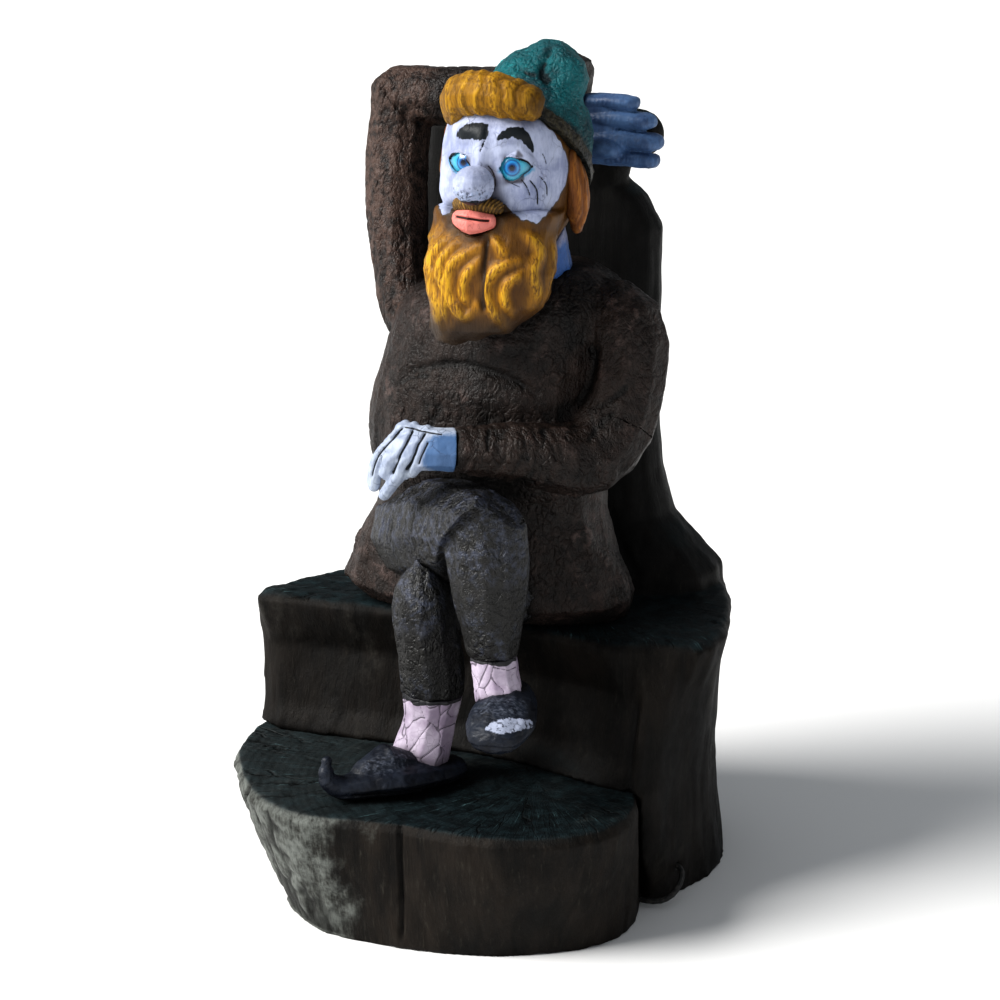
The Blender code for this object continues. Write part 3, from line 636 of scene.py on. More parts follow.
def bark(name, pith, darkness):
    """Dark weathered trunk: smooth hewn sides with long faint fibres, teal-black end-grain tops, painted
    highlights and painted shade.
    """
    finish = Finish(name)
    top = finish.mark("top")
    ridge = finish.mark("ridge")
    checks_and_shade = finish.mark("checks_and_shade")
    bare_and_lit = finish.mark("bare_and_lit")
    blotch = finish.cloud(0.16, 5.0, 0.6)
    mottle = finish.cloud(0.022, 8.0, 0.70)
    fibre = finish.cloud(0.0045, 6.0, 0.70, stretch=(1, 1, 0.06))
    streak = finish.cloud(0.024, 7.0, 0.66, stretch=(1, 1, 0.11))
    grit = finish.cloud(0.0026, 4.0, 0.7)
    rays = finish.cloud(0.0042, 5.0, 0.70, place=finish.polar(pith, 0.30, 0.09))
    wedges = finish.cells(0.030, place=finish.polar(pith, 0.30, 0.16), warp=(0.03, 0.006))
    splits = finish.times(finish.step(wedges, 0.028, 0.0), finish.step(blotch, 0.44, 0.56))
    side_tone = finish.step(finish.total((streak, 0.5), (blotch, 0.5)), 0.38, 0.66)
    side = finish.blend(side_tone, (0.0022, 0.0017, 0.0013), (0.0150, 0.0110, 0.0080))
    side = finish.stain(side, (0.042, 0.038, 0.030), finish.step(fibre, 0.54, 0.74), 0.6)
    stripped_tone = finish.step(finish.total((mottle, 0.6), (fibre, 0.4)), 0.36, 0.62)
    stripped = finish.blend(stripped_tone, (0.020, 0.020, 0.017), (0.150, 0.160, 0.148))
    # painted shade: the sides darkened towards black by the given share
    side = finish.blend(darkness, side, (0.0022, 0.0020, 0.0018))
    # stripped wood, and painted light: the pale colour lies on the lit left end
    bare_and_lit_share = finish.step(finish.total((bare_and_lit, 1.0), (streak, 0.6), (mottle, 0.7)), 0.95, 1.45)
    side = finish.blend(bare_and_lit_share, side, stripped)
    top_tone = finish.step(mottle, 0.40, 0.66)
    worn = finish.blend(top_tone, (0.0030, 0.0055, 0.0065), (0.009, 0.018, 0.021))
    # painted highlight: teal glints along the rays of the end grain
    glint = finish.times(finish.step(rays, 0.58, 0.74), finish.step(blotch, 0.42, 0.60))
    worn = finish.blend(glint, worn, (0.110, 0.200, 0.215))
    worn = finish.stain(worn, (0.0012, 0.0015, 0.0018), splits, 0.8)
    # stripped wood, and painted light: the left tops made lighter
    worn = finish.stain(worn, (0.050, 0.058, 0.058), bare_and_lit, 0.25)
    colour = finish.blend(top, side, worn)
    # edges worn light, and also a painted highlight along the crests
    rim = finish.times(finish.step(ridge, 0.62, 1.0), finish.step(mottle, 0.42, 0.64))
    colour = finish.stain(colour, (0.060, 0.056, 0.048), rim, 0.45)
    # painted shade in the furrows and hollows
    colour = finish.stain(colour, (0.003, 0.003, 0.0025), finish.step(ridge, 0.40, 0.05), 0.8)
    # near black over the checks and cracks, and painted shade on the backrest
    colour = finish.blend(checks_and_shade, colour, (0.0015, 0.0015, 0.0015))
    # painted shade: darker where other parts shut the surface in
    nook_shade = finish.mark("nook_shade")
    colour = finish.stain(colour, (0.0015, 0.0016, 0.0018), nook_shade, 0.94)
    shine = finish.total((mottle, 0.40), (1.0, 0.34), (nook_shade, 0.3), (fibre, 0.08))
    side_height = finish.total((fibre, 0.50), (streak, 0.50), (mottle, 0.35))
    top_height = finish.total((rays, 0.75), (mottle, 0.60), (splits, -0.7))
    height = finish.total((finish.between(top, side_height, top_height), 1.0), (grit, 0.16))
    return finish.done(colour, shine, height, 0.0030, mirror=0.14)


def skin_look(finish, base, shade, wash_and_shade, crack_size, crack_width, crack_share):
    """Colour, relief and cracks of thick pale paint: brush marks, hair cracks, dirt and a blue tint, which
    on the nose and the neck is painted shade.
    """
    cloudy = finish.cloud(0.035, 5.0, 0.6)
    brush = finish.cloud(0.0032, 5.0, 0.65, stretch=(1, 1, 0.20))
    grit = finish.cloud(0.0014, 2.0)
    cracks = finish.step(finish.cells(crack_size, warp=(0.012, 0.010)), crack_width, 0.0)
    patch = finish.step(finish.cloud(0.045, 2.0), 0.44, 0.60)
    cracks = finish.times(cracks, finish.times(patch, crack_share))
    colour = finish.blend(finish.step(finish.total((cloudy, 0.7), (brush, 0.3)), 0.36, 0.62), shade, base)
    # blue tint laid by the mark; on the nose and the neck it is painted shade
    wash_and_shade_edge = finish.total((finish.mark("wash_and_shade"), 1.0), (brush, 0.9), (cloudy, 0.3))
    colour = finish.stain(colour, wash_and_shade, finish.step(wash_and_shade_edge, 0.80, 1.45), 0.95)
    ink = finish.mark("ink")
    smear = finish.step(finish.total((ink, 1.0), (brush, 1.1)), 0.70, 1.35)
    colour = finish.stain(colour, (0.060, 0.070, 0.095), smear, 0.55)
    ink_edge = finish.step(finish.total((ink, 1.0), (brush, 0.50), (grit, 0.15)), 0.86, 0.98)
    colour = finish.blend(ink_edge, colour, (0.006, 0.009, 0.012))
    colour = finish.stain(colour, (0.045, 0.045, 0.070), cracks, 0.8)
    spots = finish.step(finish.cells(0.0052, "F1", warp=(0.01, 0.004)), 0.40, 0.22)
    dents = finish.step(finish.cloud(0.004, 4.0, 0.7), 0.55, 0.68)
    pits = finish.times(finish.mark("pits"), finish.math("MAXIMUM", spots, dents))
    colour = finish.stain(colour, (0.030, 0.034, 0.050), pits, 0.8)
    height = finish.total((cloudy, 0.30), (brush, 0.35), (grit, 0.12), (cracks, -0.8), (pits, -0.7))
    return colour, height, cracks, brush, cloudy


def hair_look(finish, dark, middle, bright):
    """Colour and relief of mustard paint on carved locks: painted shade in the creases, painted highlights
    on the crests, fine strokes.
    """
    crest = finish.mark("ridge")
    cloudy = finish.cloud(0.045, 5.0, 0.6)
    strokes = finish.cloud(0.0030, 5.0, 0.68, stretch=(1, 1, 0.13), warp=(0.030, 0.006))
    blot = finish.cloud(0.012, 5.0, 0.7, stretch=(1, 1, 0.45))
    tone = finish.total((cloudy, 0.45), (blot, 0.35), (strokes, 0.30))
    muddy = tuple(0.5 * (low + high) for low, high in zip(dark, middle))
    colour = finish.blend(finish.step(tone, 0.42, 0.66), muddy, middle)
    # painted highlight on the crests
    lit = finish.times(finish.step(crest, 0.50, 0.95), finish.step(strokes, 0.40, 0.60))
    colour = finish.stain(colour, bright, lit, 0.75)
    colour = finish.stain(colour, dark, finish.step(strokes, 0.50, 0.34), 0.5)
    # painted shade in the creases
    hollow_shade = finish.times(finish.step(crest, 0.55, 0.0), 0.84)
    colour = finish.blend(hollow_shade, colour, scaled(dark, 1.3))
    height = finish.total((strokes, 0.75), (blot, 0.35), (cloudy, 0.2))
    return colour, height


def pale_paint(name, base, shade, wash_and_shade, crack_share=0.7):
    """The hands', nose's and neck's pale paint, darkened to slate blue as painted shade for the raised hand,
    roughened by its cracks.
    """
    finish = Finish(name)
    colour, height, cracks, _, cloudy = skin_look(finish, base, shade, wash_and_shade, 0.022, 0.024, crack_share)
    # painted shade: darker where other parts shut the surface in
    colour = finish.stain(colour, scaled(shade, 0.10), finish.mark("nook_shade"), 0.75)
    shine = finish.total((cloudy, 0.25), (1.0, 0.33), (cracks, 0.2))
    return finish.done(colour, shine, height, 0.0013, mirror=0.26)


# hair colours: the dark one also gives painted shade in the creases, the last is a painted highlight
HAIR_DARK = (0.040, 0.014, 0.002)
HAIR_MIDDLE = (0.330, 0.150, 0.007)
HAIR_HIGHLIGHT = (0.640, 0.360, 0.018)


def head_paint(name):
    """The face's pale paint meeting the beard's mustard paint in a ragged brushed edge."""
    finish = Finish(name)
    skin, skin_height, _, brush, cloudy = skin_look(
        finish, (0.43, 0.47, 0.62), (0.24, 0.27, 0.41), (0.04, 0.24, 0.42), 0.030, 0.018, 0.45)
    hair, hair_height = hair_look(finish, HAIR_DARK, HAIR_MIDDLE, HAIR_HIGHLIGHT)
    share = finish.mark("ochre")
    edge = finish.step(finish.total((share, 1.0), (brush, 0.55), (cloudy, 0.15)), 0.82, 0.96)
    rim = finish.times(finish.step(share, 0.98, 0.60), edge)
    hair = finish.stain(hair, (0.060, 0.050, 0.040), rim, 0.85)
    colour = finish.blend(edge, skin, hair)
    shadow = finish.mark("shadow")
    colour = finish.stain(colour, (0.018, 0.012, 0.008), shadow, 0.90)
    # painted shade: darker where other parts shut the surface in
    colour = finish.stain(colour, (0.022, 0.012, 0.008), finish.mark("nook_shade"), 0.80)
    height = finish.between(edge, skin_height, hair_height)
    shine = finish.total((cloudy, 0.25), (1.0, 0.34))
    return finish.done(colour, shine, height, 0.0016, mirror=0.26)


def hair_paint(name, dark, middle, bright):
    """Mustard or brown paint on the fringe, the side locks and the moustache."""
    finish = Finish(name)
    colour, height = hair_look(finish, dark, middle, bright)
    shadow = finish.mark("shadow")
    colour = finish.stain(colour, (0.020, 0.010, 0.004), shadow, 0.85)
    # painted shade: darker where other parts shut the surface in
    colour = finish.stain(colour, (0.016, 0.006, 0.002), finish.mark("nook_shade"), 0.85)
    shine = finish.total((finish.cloud(0.03, 4.0), 0.25), (1.0, 0.34))
    return finish.done(colour, shine, height, 0.0018, mirror=0.20)


def hat_paint(name):
    """Bright teal paint, wrinkled and crackled so that its small facets catch the light; painted highlights
    to the left, painted shade in the folds.
    """
    finish = Finish(name)
    cloudy = finish.cloud(0.060, 4.0, 0.6)
    walls = finish.cells(0.0075, warp=(0.020, 0.010))
    facets = finish.step(walls, 0.0, 0.30)
    mottle = finish.cloud(0.007, 7.0, 0.74)
    wide = finish.cloud(0.018, 4.0, 0.65)
    colour = finish.blend(finish.step(cloudy, 0.36, 0.62), (0.001, 0.040, 0.052), (0.002, 0.125, 0.142))
    # painted highlight, strongest towards the hat's left side
    bright = finish.times(finish.step(mottle, 0.50, 0.62), finish.step(wide, 0.46, 0.62))
    colour = finish.blend(finish.times(bright, finish.mark("lit")), colour, (0.030, 0.460, 0.480))
    colour = finish.stain(colour, (0.002, 0.022, 0.028), finish.step(walls, 0.06, 0.0), 0.4)
    # painted shade in the folds
    colour = finish.blend(finish.step(finish.mark("ridge"), 0.40, 0.05), colour, (0.002, 0.014, 0.018))
    band = finish.step(finish.total((finish.mark("band"), 1.0), (mottle, 0.7)), 0.80, 1.10)
    band_colour = finish.blend(finish.step(mottle, 0.4, 0.65), (0.008, 0.006, 0.003), (0.050, 0.042, 0.022))
    colour = finish.blend(band, colour, band_colour)
    # painted shade: darker where other parts shut the surface in
    colour = finish.stain(colour, (0.002, 0.006, 0.007), finish.mark("nook_shade"), 0.85)
    shine = finish.total((mottle, 0.40), (1.0, 0.22))
    height = finish.total((facets, 0.35), (mottle, 0.95), (wide, 0.5))
    return finish.done(colour, shine, height, 0.0034, mirror=0.32)


def eye_paint(name):
    """Glossy painted eye: dark pupil, bright blue iris with spokes, and a pale blue white."""
    finish = Finish(name)
    ring = finish.mark("gaze")
    spokes = finish.cloud(0.0016, 3.0, 0.6)
    edge = finish.total((ring, 1.0), (spokes, 0.0020))
    colour = finish.steps(
        finish.times(edge, 42.0),
        (0.00, (0.002, 0.003, 0.007)),
        (0.17, (0.003, 0.008, 0.025)),
        (0.25, (0.008, 0.070, 0.240)),
        (0.36, (0.020, 0.230, 0.520)),
        (0.45, (0.006, 0.060, 0.180)),
        (0.52, (0.030, 0.300, 0.480)),
        (0.66, (0.060, 0.380, 0.520)),
        (0.95, (0.120, 0.330, 0.460)))
    shine = finish.total((spokes, 0.10), (1.0, 0.16))
    return finish.done(colour, shine, spokes, 0.0002, mirror=0.5, coat=0.6)


def lip_paint(name):
    """Salmon pink paint with faint upright lines and a dark parting."""
    finish = Finish(name)
    cloudy = finish.cloud(0.010, 4.0)
    lines = finish.veins(0.007, 0.03, (1, 1, 0.3))
    colour = finish.blend(cloudy, (0.52, 0.130, 0.105), (0.78, 0.270, 0.235))
    colour = finish.stain(colour, (0.20, 0.045, 0.040), lines, 0.35)
    colour = finish.blend(finish.step(finish.mark("ink"), 0.35, 0.7), colour, (0.030, 0.012, 0.010))
    # painted shade: darker where other parts shut the surface in
    colour = finish.stain(colour, (0.10, 0.03, 0.02), finish.mark("nook_shade"), 0.5)
    shine = finish.total((cloudy, 0.2), (1.0, 0.40))
    height = finish.total((cloudy, 0.4), (lines, -0.4))
    return finish.done(colour, shine, height, 0.0008, mirror=0.4)


def shoe_paint(name):
    """Blue-black shoe paint brushed with silver, worn through to pale undercoat on the toe."""
    finish = Finish(name)
    cloudy = finish.cloud(0.030, 5.0, 0.6)
    brush = finish.cloud(0.0040, 6.0, 0.7, stretch=(0.6, 1, 1))
    colour = finish.blend(finish.step(cloudy, 0.35, 0.65), (0.003, 0.004, 0.008), (0.012, 0.016, 0.026))
    silver = finish.times(finish.mark("vamp"), finish.step(brush, 0.44, 0.66))
    colour = finish.stain(colour, (0.085, 0.096, 0.125), silver, 0.8)
    flakes = finish.cloud(0.010, 4.0, 0.7)
    chips = finish.step(finish.total((finish.mark("worn"), 1.0), (brush, 1.0), (flakes, 0.8)), 1.72, 1.90)
    colour = finish.blend(chips, colour, (0.32, 0.35, 0.45))
    # painted shade in the creases and along the welt
    colour = finish.blend(finish.step(finish.mark("ridge"), 0.40, 0.05), colour, (0.003, 0.003, 0.004))
    # painted shade: darker where other parts shut the surface in
    colour = finish.stain(colour, (0.004, 0.004, 0.004), finish.mark("nook_shade"), 0.85)
    shine = finish.total((brush, 0.35), (1.0, 0.28), (chips, 0.15))
    height = finish.total((brush, 0.5), (cloudy, 0.3), (chips, -0.5))
    return finish.done(colour, shine, height, 0.0013, mirror=0.26)


def sock_paint(name):
    """Pinkish white paint broken by a net of fine dark cracks."""
    finish = Finish(name)
    cloudy = finish.cloud(0.030, 5.0, 0.6)
    net = finish.step(finish.mark("crackle"), 0.10, 0.03)
    fine_net = finish.step(finish.cells(0.009, warp=(0.01, 0.004)), 0.022, 0.0)
    fine_net = finish.times(fine_net, finish.step(cloudy, 0.48, 0.60))
    colour = finish.blend(finish.step(cloudy, 0.34, 0.66), (0.27, 0.215, 0.295), (0.46, 0.400, 0.490))
    colour = finish.stain(colour, (0.050, 0.040, 0.055), net, 0.75)
    colour = finish.stain(colour, (0.10, 0.08, 0.11), fine_net, 0.5)
    edge = finish.step(finish.total((finish.mark("hem"), 1.0), (finish.cloud(0.006, 5.0), 0.5)), 0.70, 0.85)
    colour = finish.blend(edge, colour, (0.015, 0.015, 0.018))
    # painted shade: darker where other parts shut the surface in
    colour = finish.stain(colour, (0.05, 0.04, 0.05), finish.mark("nook_shade"), 0.75)
    shine = finish.total((cloudy, 0.25), (1.0, 0.42))
    height = finish.total((cloudy, 0.3), (net, -0.6), (fine_net, -0.3))
    return finish.done(colour, shine, height, 0.0010, mirror=0.4)


def cut_wood(name):
    """Clean turned beech for the dowels: rings stretched along the grain."""
    finish = Finish(name)
    rings = finish.cloud(0.006, 3.0, 0.5, stretch=(1, 1, 0.12))
    pores = finish.cloud(0.0012, 2.0, 0.5, stretch=(1, 1, 0.08))
    colour = finish.blend(finish.step(rings, 0.35, 0.65), (0.36, 0.215, 0.105), (0.58, 0.40, 0.22))
    colour = finish.stain(colour, (0.22, 0.12, 0.06), finish.step(pores, 0.56, 0.70), 0.5)
    shine = finish.total((rings, 0.2), (1.0, 0.5))
    height = finish.total((pores, 0.5), (rings, 0.3))
    return finish.done(colour, shine, height, 0.0005)


def zinc(name):
    """Hot-dip galvanised steel: grey spangles, a little rougher where it has dulled."""
    finish = Finish(name)
    spangle = finish.cells(0.006, "F1", warp=(0.01, 0.003))
    dulled = finish.cloud(0.015, 4.0)
    colour = finish.blend(finish.step(spangle, 0.1, 0.7), (0.50, 0.51, 0.53), (0.30, 0.31, 0.33))
    colour = finish.blend(finish.step(dulled, 0.55, 0.75), colour, (0.22, 0.19, 0.16))
    return finish.done(colour, finish.total((dulled, 0.35), (1.0, 0.28)), spangle, 0.0003, metallic=1.0)


def rubber(name):
    """Black moulded rubber and plaited cord, dusty in the hollows."""
    finish = Finish(name)
    dust = finish.cloud(0.006, 4.0)
    plait = finish.cells(0.0024, "F1")
    colour = finish.blend(finish.step(dust, 0.45, 0.70), (0.012, 0.012, 0.012), (0.050, 0.046, 0.042))
    shine = finish.total((dust, 0.3), (1.0, 0.45))
    height = finish.total((plait, 0.7), (dust, 0.2))
    return finish.done(colour, shine, height, 0.0008)


# ---------------------------------------------------------------- painted shade in hidden corners

def rays_round(count):
    """Directions spread over a half sphere about +Z."""
    turn = math.pi * (3 - math.sqrt(5))
    rows = []
    for index in range(count):
        lift = math.sqrt((index + 0.5) / count)
        flat = math.sqrt(1 - lift * lift)
        rows.append((flat * math.cos(turn * index), flat * math.sin(turn * index), lift))
    return np.array(rows)


def solid_tree():
    """A search tree over every CAD node together."""
    corners = []
    faces = []
    for node in NODES.values():
        base = len(corners)
        corners += [vert.co.copy() for vert in node.data.vertices]
        faces += [[base + index for index in face.vertices] for face in node.data.polygons]
    return BVHTree.FromPolygons(corners, faces)


SOLIDS = solid_tree()
SHADE_RAYS = rays_round(12)
SHADE_REACH = 0.13
SHADE_LIFT = 0.005


def shut_in(points, facing):
    """For each point, the share of short rays outwards that hit the object."""
    helper = np.where(np.abs(facing[:, 2:]) < 0.9, (0.0, 0.0, 1.0), (1.0, 0.0, 0.0))
    side = np.cross(helper, facing)
    side /= np.linalg.norm(side, axis=1)[:, None]
    lift = np.cross(facing, side)
    result = np.empty(len(points))
    for index, spot in enumerate(points + facing * SHADE_LIFT):
        turned = SHADE_RAYS @ np.array((side[index], lift[index], facing[index]))
        start = Vector(spot)
        hits = sum(SOLIDS.ray_cast(start, Vector(way), SHADE_REACH)[0] is not None for way in turned)
        result[index] = hits / len(SHADE_RAYS)
    return result


def add_nook_shade(clay, spacing):
    """Marks painted shade by how shut in each point is, measured at one point in each small cube and blended
    between.
    """
    cells = np.floor(clay.points / spacing).astype(int)
    _, first, home = np.unique(cells, axis=0, return_index=True, return_inverse=True)
    shut = shut_in(clay.points[first], clay.facing[first])
    spread = shut[home.reshape(-1)]
    start, end, near = clay.neighbours()
    count = len(spread)
    for _ in range(int(2.5 * spacing / clay.cell) ** 2 // 2 + 4):
        around = np.bincount(start, spread[end], count) + np.bincount(end, spread[start], count)
        spread = 0.5 * spread + 0.5 * around / near
    clay.mark("nook_shade", fade(spread, 0.30, 0.92))


def ridge_mark(clay, height, low, high):
    """Marks crests 1 and hollows 0 from a height in metres."""
    clay.mark("ridge", np.clip((height - low) / (high - low), 0, 1))


# ---------------------------------------------------------------- the trunk

PITHS = {"seat_log": (0.060, 0.120), "step_log": (0.120, -0.120)}
CHECK_COUNT = 64
RING_GAP = 0.011


def end_grain(points, pith):
    """Radial checks, 0 to 1, and growth rings, -1 to 1, about the pith."""
    east, north = points[:, 0] - pith[0], points[:, 1] - pith[1]
    reach = np.hypot(east, north)
    turn = np.arctan2(north, east) + 0.06 * noise(points, 0.06, 2) + 0.02 * noise(points, 0.015, 3)
    place = turn * CHECK_COUNT / (2 * math.pi)
    sector = np.floor(place).astype(int)
    luck = SCATTER[(sector * 37 + 11) & 255, 0]
    across = np.abs(place - sector - 0.5) * 2 * math.pi * reach / CHECK_COUNT
    width = 0.0010 + 0.0016 * luck ** 2
    start = 0.08 + 0.22 * luck
    checks = np.exp(-(across / width) ** 2) * fade(reach, start, start + 0.06) * fade(luck, 0.25, 0.5)
    rings = np.sin((reach + 0.006 * noise(points, 0.10, 4)) * 2 * math.pi / RING_GAP)
    return checks, rings


def carve_log(name, cell, cracks, bare_and_lit_from, finish):
    """Hewn sides with shallow furrows and an end-grain top; scalloped, stripped and painted lighter left of
    the given x.
    """
    clay = Clay(name, cell, relax=5)
    points = clay.points
    top = fade(clay.facing[:, 2], 0.55, 0.85)
    side = 1 - fade(np.abs(clay.facing[:, 2]), 0.45, 0.80)
    # stripped wood, and painted light: lighter towards the left end, where the key light falls
    bare_and_lit = fade(points[:, 0] + 0.05 * noise(points, 0.08, 14), bare_and_lit_from + 0.09, bare_and_lit_from - 0.09)
    hewn = layered(points, (0.090, 0.090, 0.160), 3, 1)
    bent = points + 0.012 * layered(points, 0.09, 2, 8)[:, None]
    furrows = creases(bent, (0.040, 0.040, 0.42), 0.22, 3)
    adze = layered(points, 0.040, 2, 9)
    scoops = np.clip(cell_walls(bent, (0.030, 0.030, 0.042), 15) / 0.45, 0, 1)
    checks, rings = end_grain(points, PITHS[name])
    checks *= top
    relief = side * (0.0030 * hewn - 0.0012 * furrows + bare_and_lit * 0.0026 * (scoops - 1))
    relief += top * (0.0022 * hewn + 0.0014 * adze + 0.0003 * rings)
    relief += (1 - top) * (1 - side) * 0.0018 * adze
    clay.push(relief - 0.0028 * checks)
    pressed = clay.grooves(cracks)
    # painted shade: the seat log's sides above the seat are darkened towards black
    backrest = fade(points[:, 2], 0.41, 0.45) * side * 0.75
    clay.mark("top", top * fade(layered(points, 0.05, 3, 12), -1.6, -0.7))
    clay.mark("checks_and_shade", np.maximum(np.maximum(0.85 * checks, pressed * 0.9), backrest))
    clay.mark("bare_and_lit", bare_and_lit)
    ridge_mark(clay, relief, -0.0045, 0.0040)
    finish_clay(clay, finish, shade_gap=0.020)


def carve_trunk():
    front_split = [(0.008, -0.301, 0.182), (0.021, -0.333, 0.146), (0.019, -0.326, 0.073),
                   (0.013, -0.317, 0.0)]
    side_split = [(-0.236, -0.25, 0.18), (-0.25, -0.27, 0.12), (-0.235, -0.26, 0.05)]
    cracks = [(front_split, 0.0022, 0.006), (side_split, 0.0025, 0.005)]
    carve_log("step_log", 0.0030, cracks, -0.07, "step_trunk")
    fold = [(0.252, -0.083, 0.316), (0.245, -0.091, 0.262), (0.250, -0.115, 0.186), (0.240, -0.057, 0.063)]
    beside_back = [(0.121, 0.140, 0.501), (0.125, 0.136, 0.471), (0.149, 0.125, 0.435),
                   (0.173, 0.120, 0.397)]
    cracks = [(fold, 0.005, 0.007), (beside_back, 0.006, 0.005)]
    carve_log("seat_log", 0.0050, cracks, -0.48, "seat_trunk")


# ---------------------------------------------------------------- clothes

def leathery(points, seed, size=0.014):
    """Facets like hide parted by fine creases, in metres of relief, deeper in some places."""
    bent = points + 0.005 * layered(points, 0.03, 2, seed + 5)[:, None]
    walls = cell_walls(bent, (size, size, size * 1.35), seed)
    patch = 0.30 + 0.70 * fade(noise(points, 0.06, seed + 2), -0.3, 0.4)
    return 0.0011 * patch * (np.clip(walls / 0.32, 0, 1) - 1)


def hatched(points, start, end, seed, gap):
    """Creases across a limb, from its axis."""
    axis = np.array(end) - np.array(start)
    axis /= np.linalg.norm(axis)
    along = (points - start) @ axis
    bent = points + 0.006 * layered(points, 0.035, 2, seed)[:, None]
    squeezed = np.outer(along, axis) * (1 / gap - 1 / 0.060) + bent / 0.060
    return creases(squeezed, 1.0, 0.36, seed + 1)


COAT_NODES = ["torso", "coat_skirt", "left_upper_arm", "left_forearm", "right_upper_arm", "right_forearm",
              "right_cuff"]
LEFT_ELBOW = (0.174, -0.07, 0.625)
LEFT_WRIST = (0.05, -0.19, 0.645)
BELLY_ROLL = ((0.03, -0.115, 0.702), (0.10, 0.05, 0.022), 0.004)  # centre, radius along each axis, height
COAT_FOLDS = (
    # corners, half width, depth
    ([(-0.092, -0.107, 0.711), (-0.036, -0.125, 0.734), (0.013, -0.128, 0.743), (0.058, -0.126, 0.736),
      (0.095, -0.116, 0.721), (0.119, -0.101, 0.701)], 0.0060, 0.0050),
    ([(-0.098, -0.106, 0.697), (-0.059, -0.120, 0.716), (-0.024, -0.126, 0.724)], 0.0040, 0.0025),
    ([(0.076, -0.173, 0.676), (0.084, -0.197, 0.664), (0.088, -0.202, 0.646)], 0.0022, 0.0026),
    ([(0.042, -0.197, 0.674), (0.041, -0.203, 0.646), (0.047, -0.213, 0.628)], 0.0024, 0.0026),
    ([(0.180, -0.078, 0.689), (0.207, -0.070, 0.705), (0.223, -0.060, 0.723)], 0.0045, 0.0035),
    ([(0.150, -0.066, 0.684), (0.165, -0.055, 0.717), (0.169, -0.051, 0.750),
      (0.164, -0.054, 0.774)], 0.0050, 0.0040),
    ([(0.184, -0.109, 0.648), (0.196, -0.090, 0.675), (0.214, -0.075, 0.690)], 0.0040, 0.0028),
    ([(0.128, -0.135, 0.672), (0.140, -0.125, 0.650), (0.148, -0.120, 0.622)], 0.0035, 0.0022),
    ([(0.106, -0.155, 0.675), (0.116, -0.150, 0.650), (0.120, -0.150, 0.624)], 0.0030, 0.0020),
)
SKIRT_ROLLS = (
    # corners, half width, height
    ([(0.139, -0.050, 0.532), (0.161, -0.027, 0.483), (0.183, 0.012, 0.439),
      (0.190, 0.030, 0.395)], 0.013, 0.0060),
    ([(-0.187, -0.020, 0.482), (-0.216, -0.020, 0.429), (-0.208, 0.000, 0.390)], 0.013, 0.0050),
    ([(-0.125, -0.080, 0.520), (-0.150, -0.080, 0.470), (-0.160, -0.070, 0.430)], 0.012, 0.0045),
    ([(0.128, -0.060, 0.500), (0.150, -0.045, 0.450), (0.170, -0.020, 0.405)], 0.010, 0.0040),
)


def carve_coat():
    """The coat's body, skirt and sleeves as one hide, creased across the left sleeve and folded."""
    clay = Clay(COAT_NODES, 0.0026, relax=6)
    points = clay.points
    hewn = layered(points, (0.050, 0.050, 0.075), 3, 21)
    relief = 0.0019 * hewn + leathery(points, 30)
    sleeve = fade(points[:, 1], -0.055, -0.085)
    sleeve = sleeve * fade(points[:, 2], 0.700, 0.680) * fade(points[:, 2], 0.590, 0.605)
    relief -= 0.0016 * sleeve * hatched(points, LEFT_ELBOW, LEFT_WRIST, 33, 0.016)
    chest = fade(points[:, 2], 0.700, 0.730) * fade(clay.facing[:, 1], 0.0, -0.5)
    relief -= 0.0010 * chest * creases(points, (0.012, 0.02, 0.05), 0.25, 35)
    clay.push(relief)
    pressed = clay.grooves(COAT_FOLDS)
    clay.mark("warm", fade(clay.points[:, 0], -0.095, -0.125) * fade(clay.points[:, 2], 0.74, 0.82))
    front = fade(clay.facing @ TO_CAMERA, 0.0, 0.3)
    rolls = clay.ridges(SKIRT_ROLLS, front * fade(points[:, 2], 0.56, 0.53))
    clay.swell(*BELLY_ROLL)
    ridge_mark(clay, relief - 0.002 * pressed + 0.2 * rolls, -0.0035, 0.0022)
    finish_clay(clay, "coat")


def carve_trousers():
    """Each thigh with its shin, wrinkled across the thigh, with an uneven hem."""
    for names, hip, knee, seed in (
            (["right_thigh", "right_shin"], (-0.10, -0.06, 0.50), (0.090, -0.205, 0.55), 41),
            (["left_thigh", "left_shin"], (0.08, -0.06, 0.43), (-0.016, -0.17, 0.46), 51)):
        clay = Clay(names, 0.0022, relax=6)
        points = clay.points
        upper = fade(points[:, 2], knee[2] - 0.10, knee[2] - 0.03)
        broken = fade(noise(points, (0.030, 0.030, 0.020), seed + 3), -0.45, 0.15)
        lines = hatched(points, hip, knee, seed, 0.0095) * upper * broken
        hewn = layered(points, (0.040, 0.040, 0.060), 3, seed + 5)
        relief = 0.0014 * hewn - 0.0013 * lines + 0.55 * leathery(points, seed + 7)
        clay.push(relief)
        bottom = points[:, 2].min()
        hem = fade(points[:, 2], bottom + 0.022, bottom + 0.004)
        clay.push(0.0022 * hem * noise(points, (0.012, 0.012, 0.03), seed + 9))
        # painted reflection: a bluish sheen on the upper part of each thigh
        clay.mark("sheen", fade(points[:, 2], knee[2] - 0.085, knee[2] - 0.030))
        ridge_mark(clay, relief, -0.0030, 0.0018)
        finish_clay(clay, "trousers")


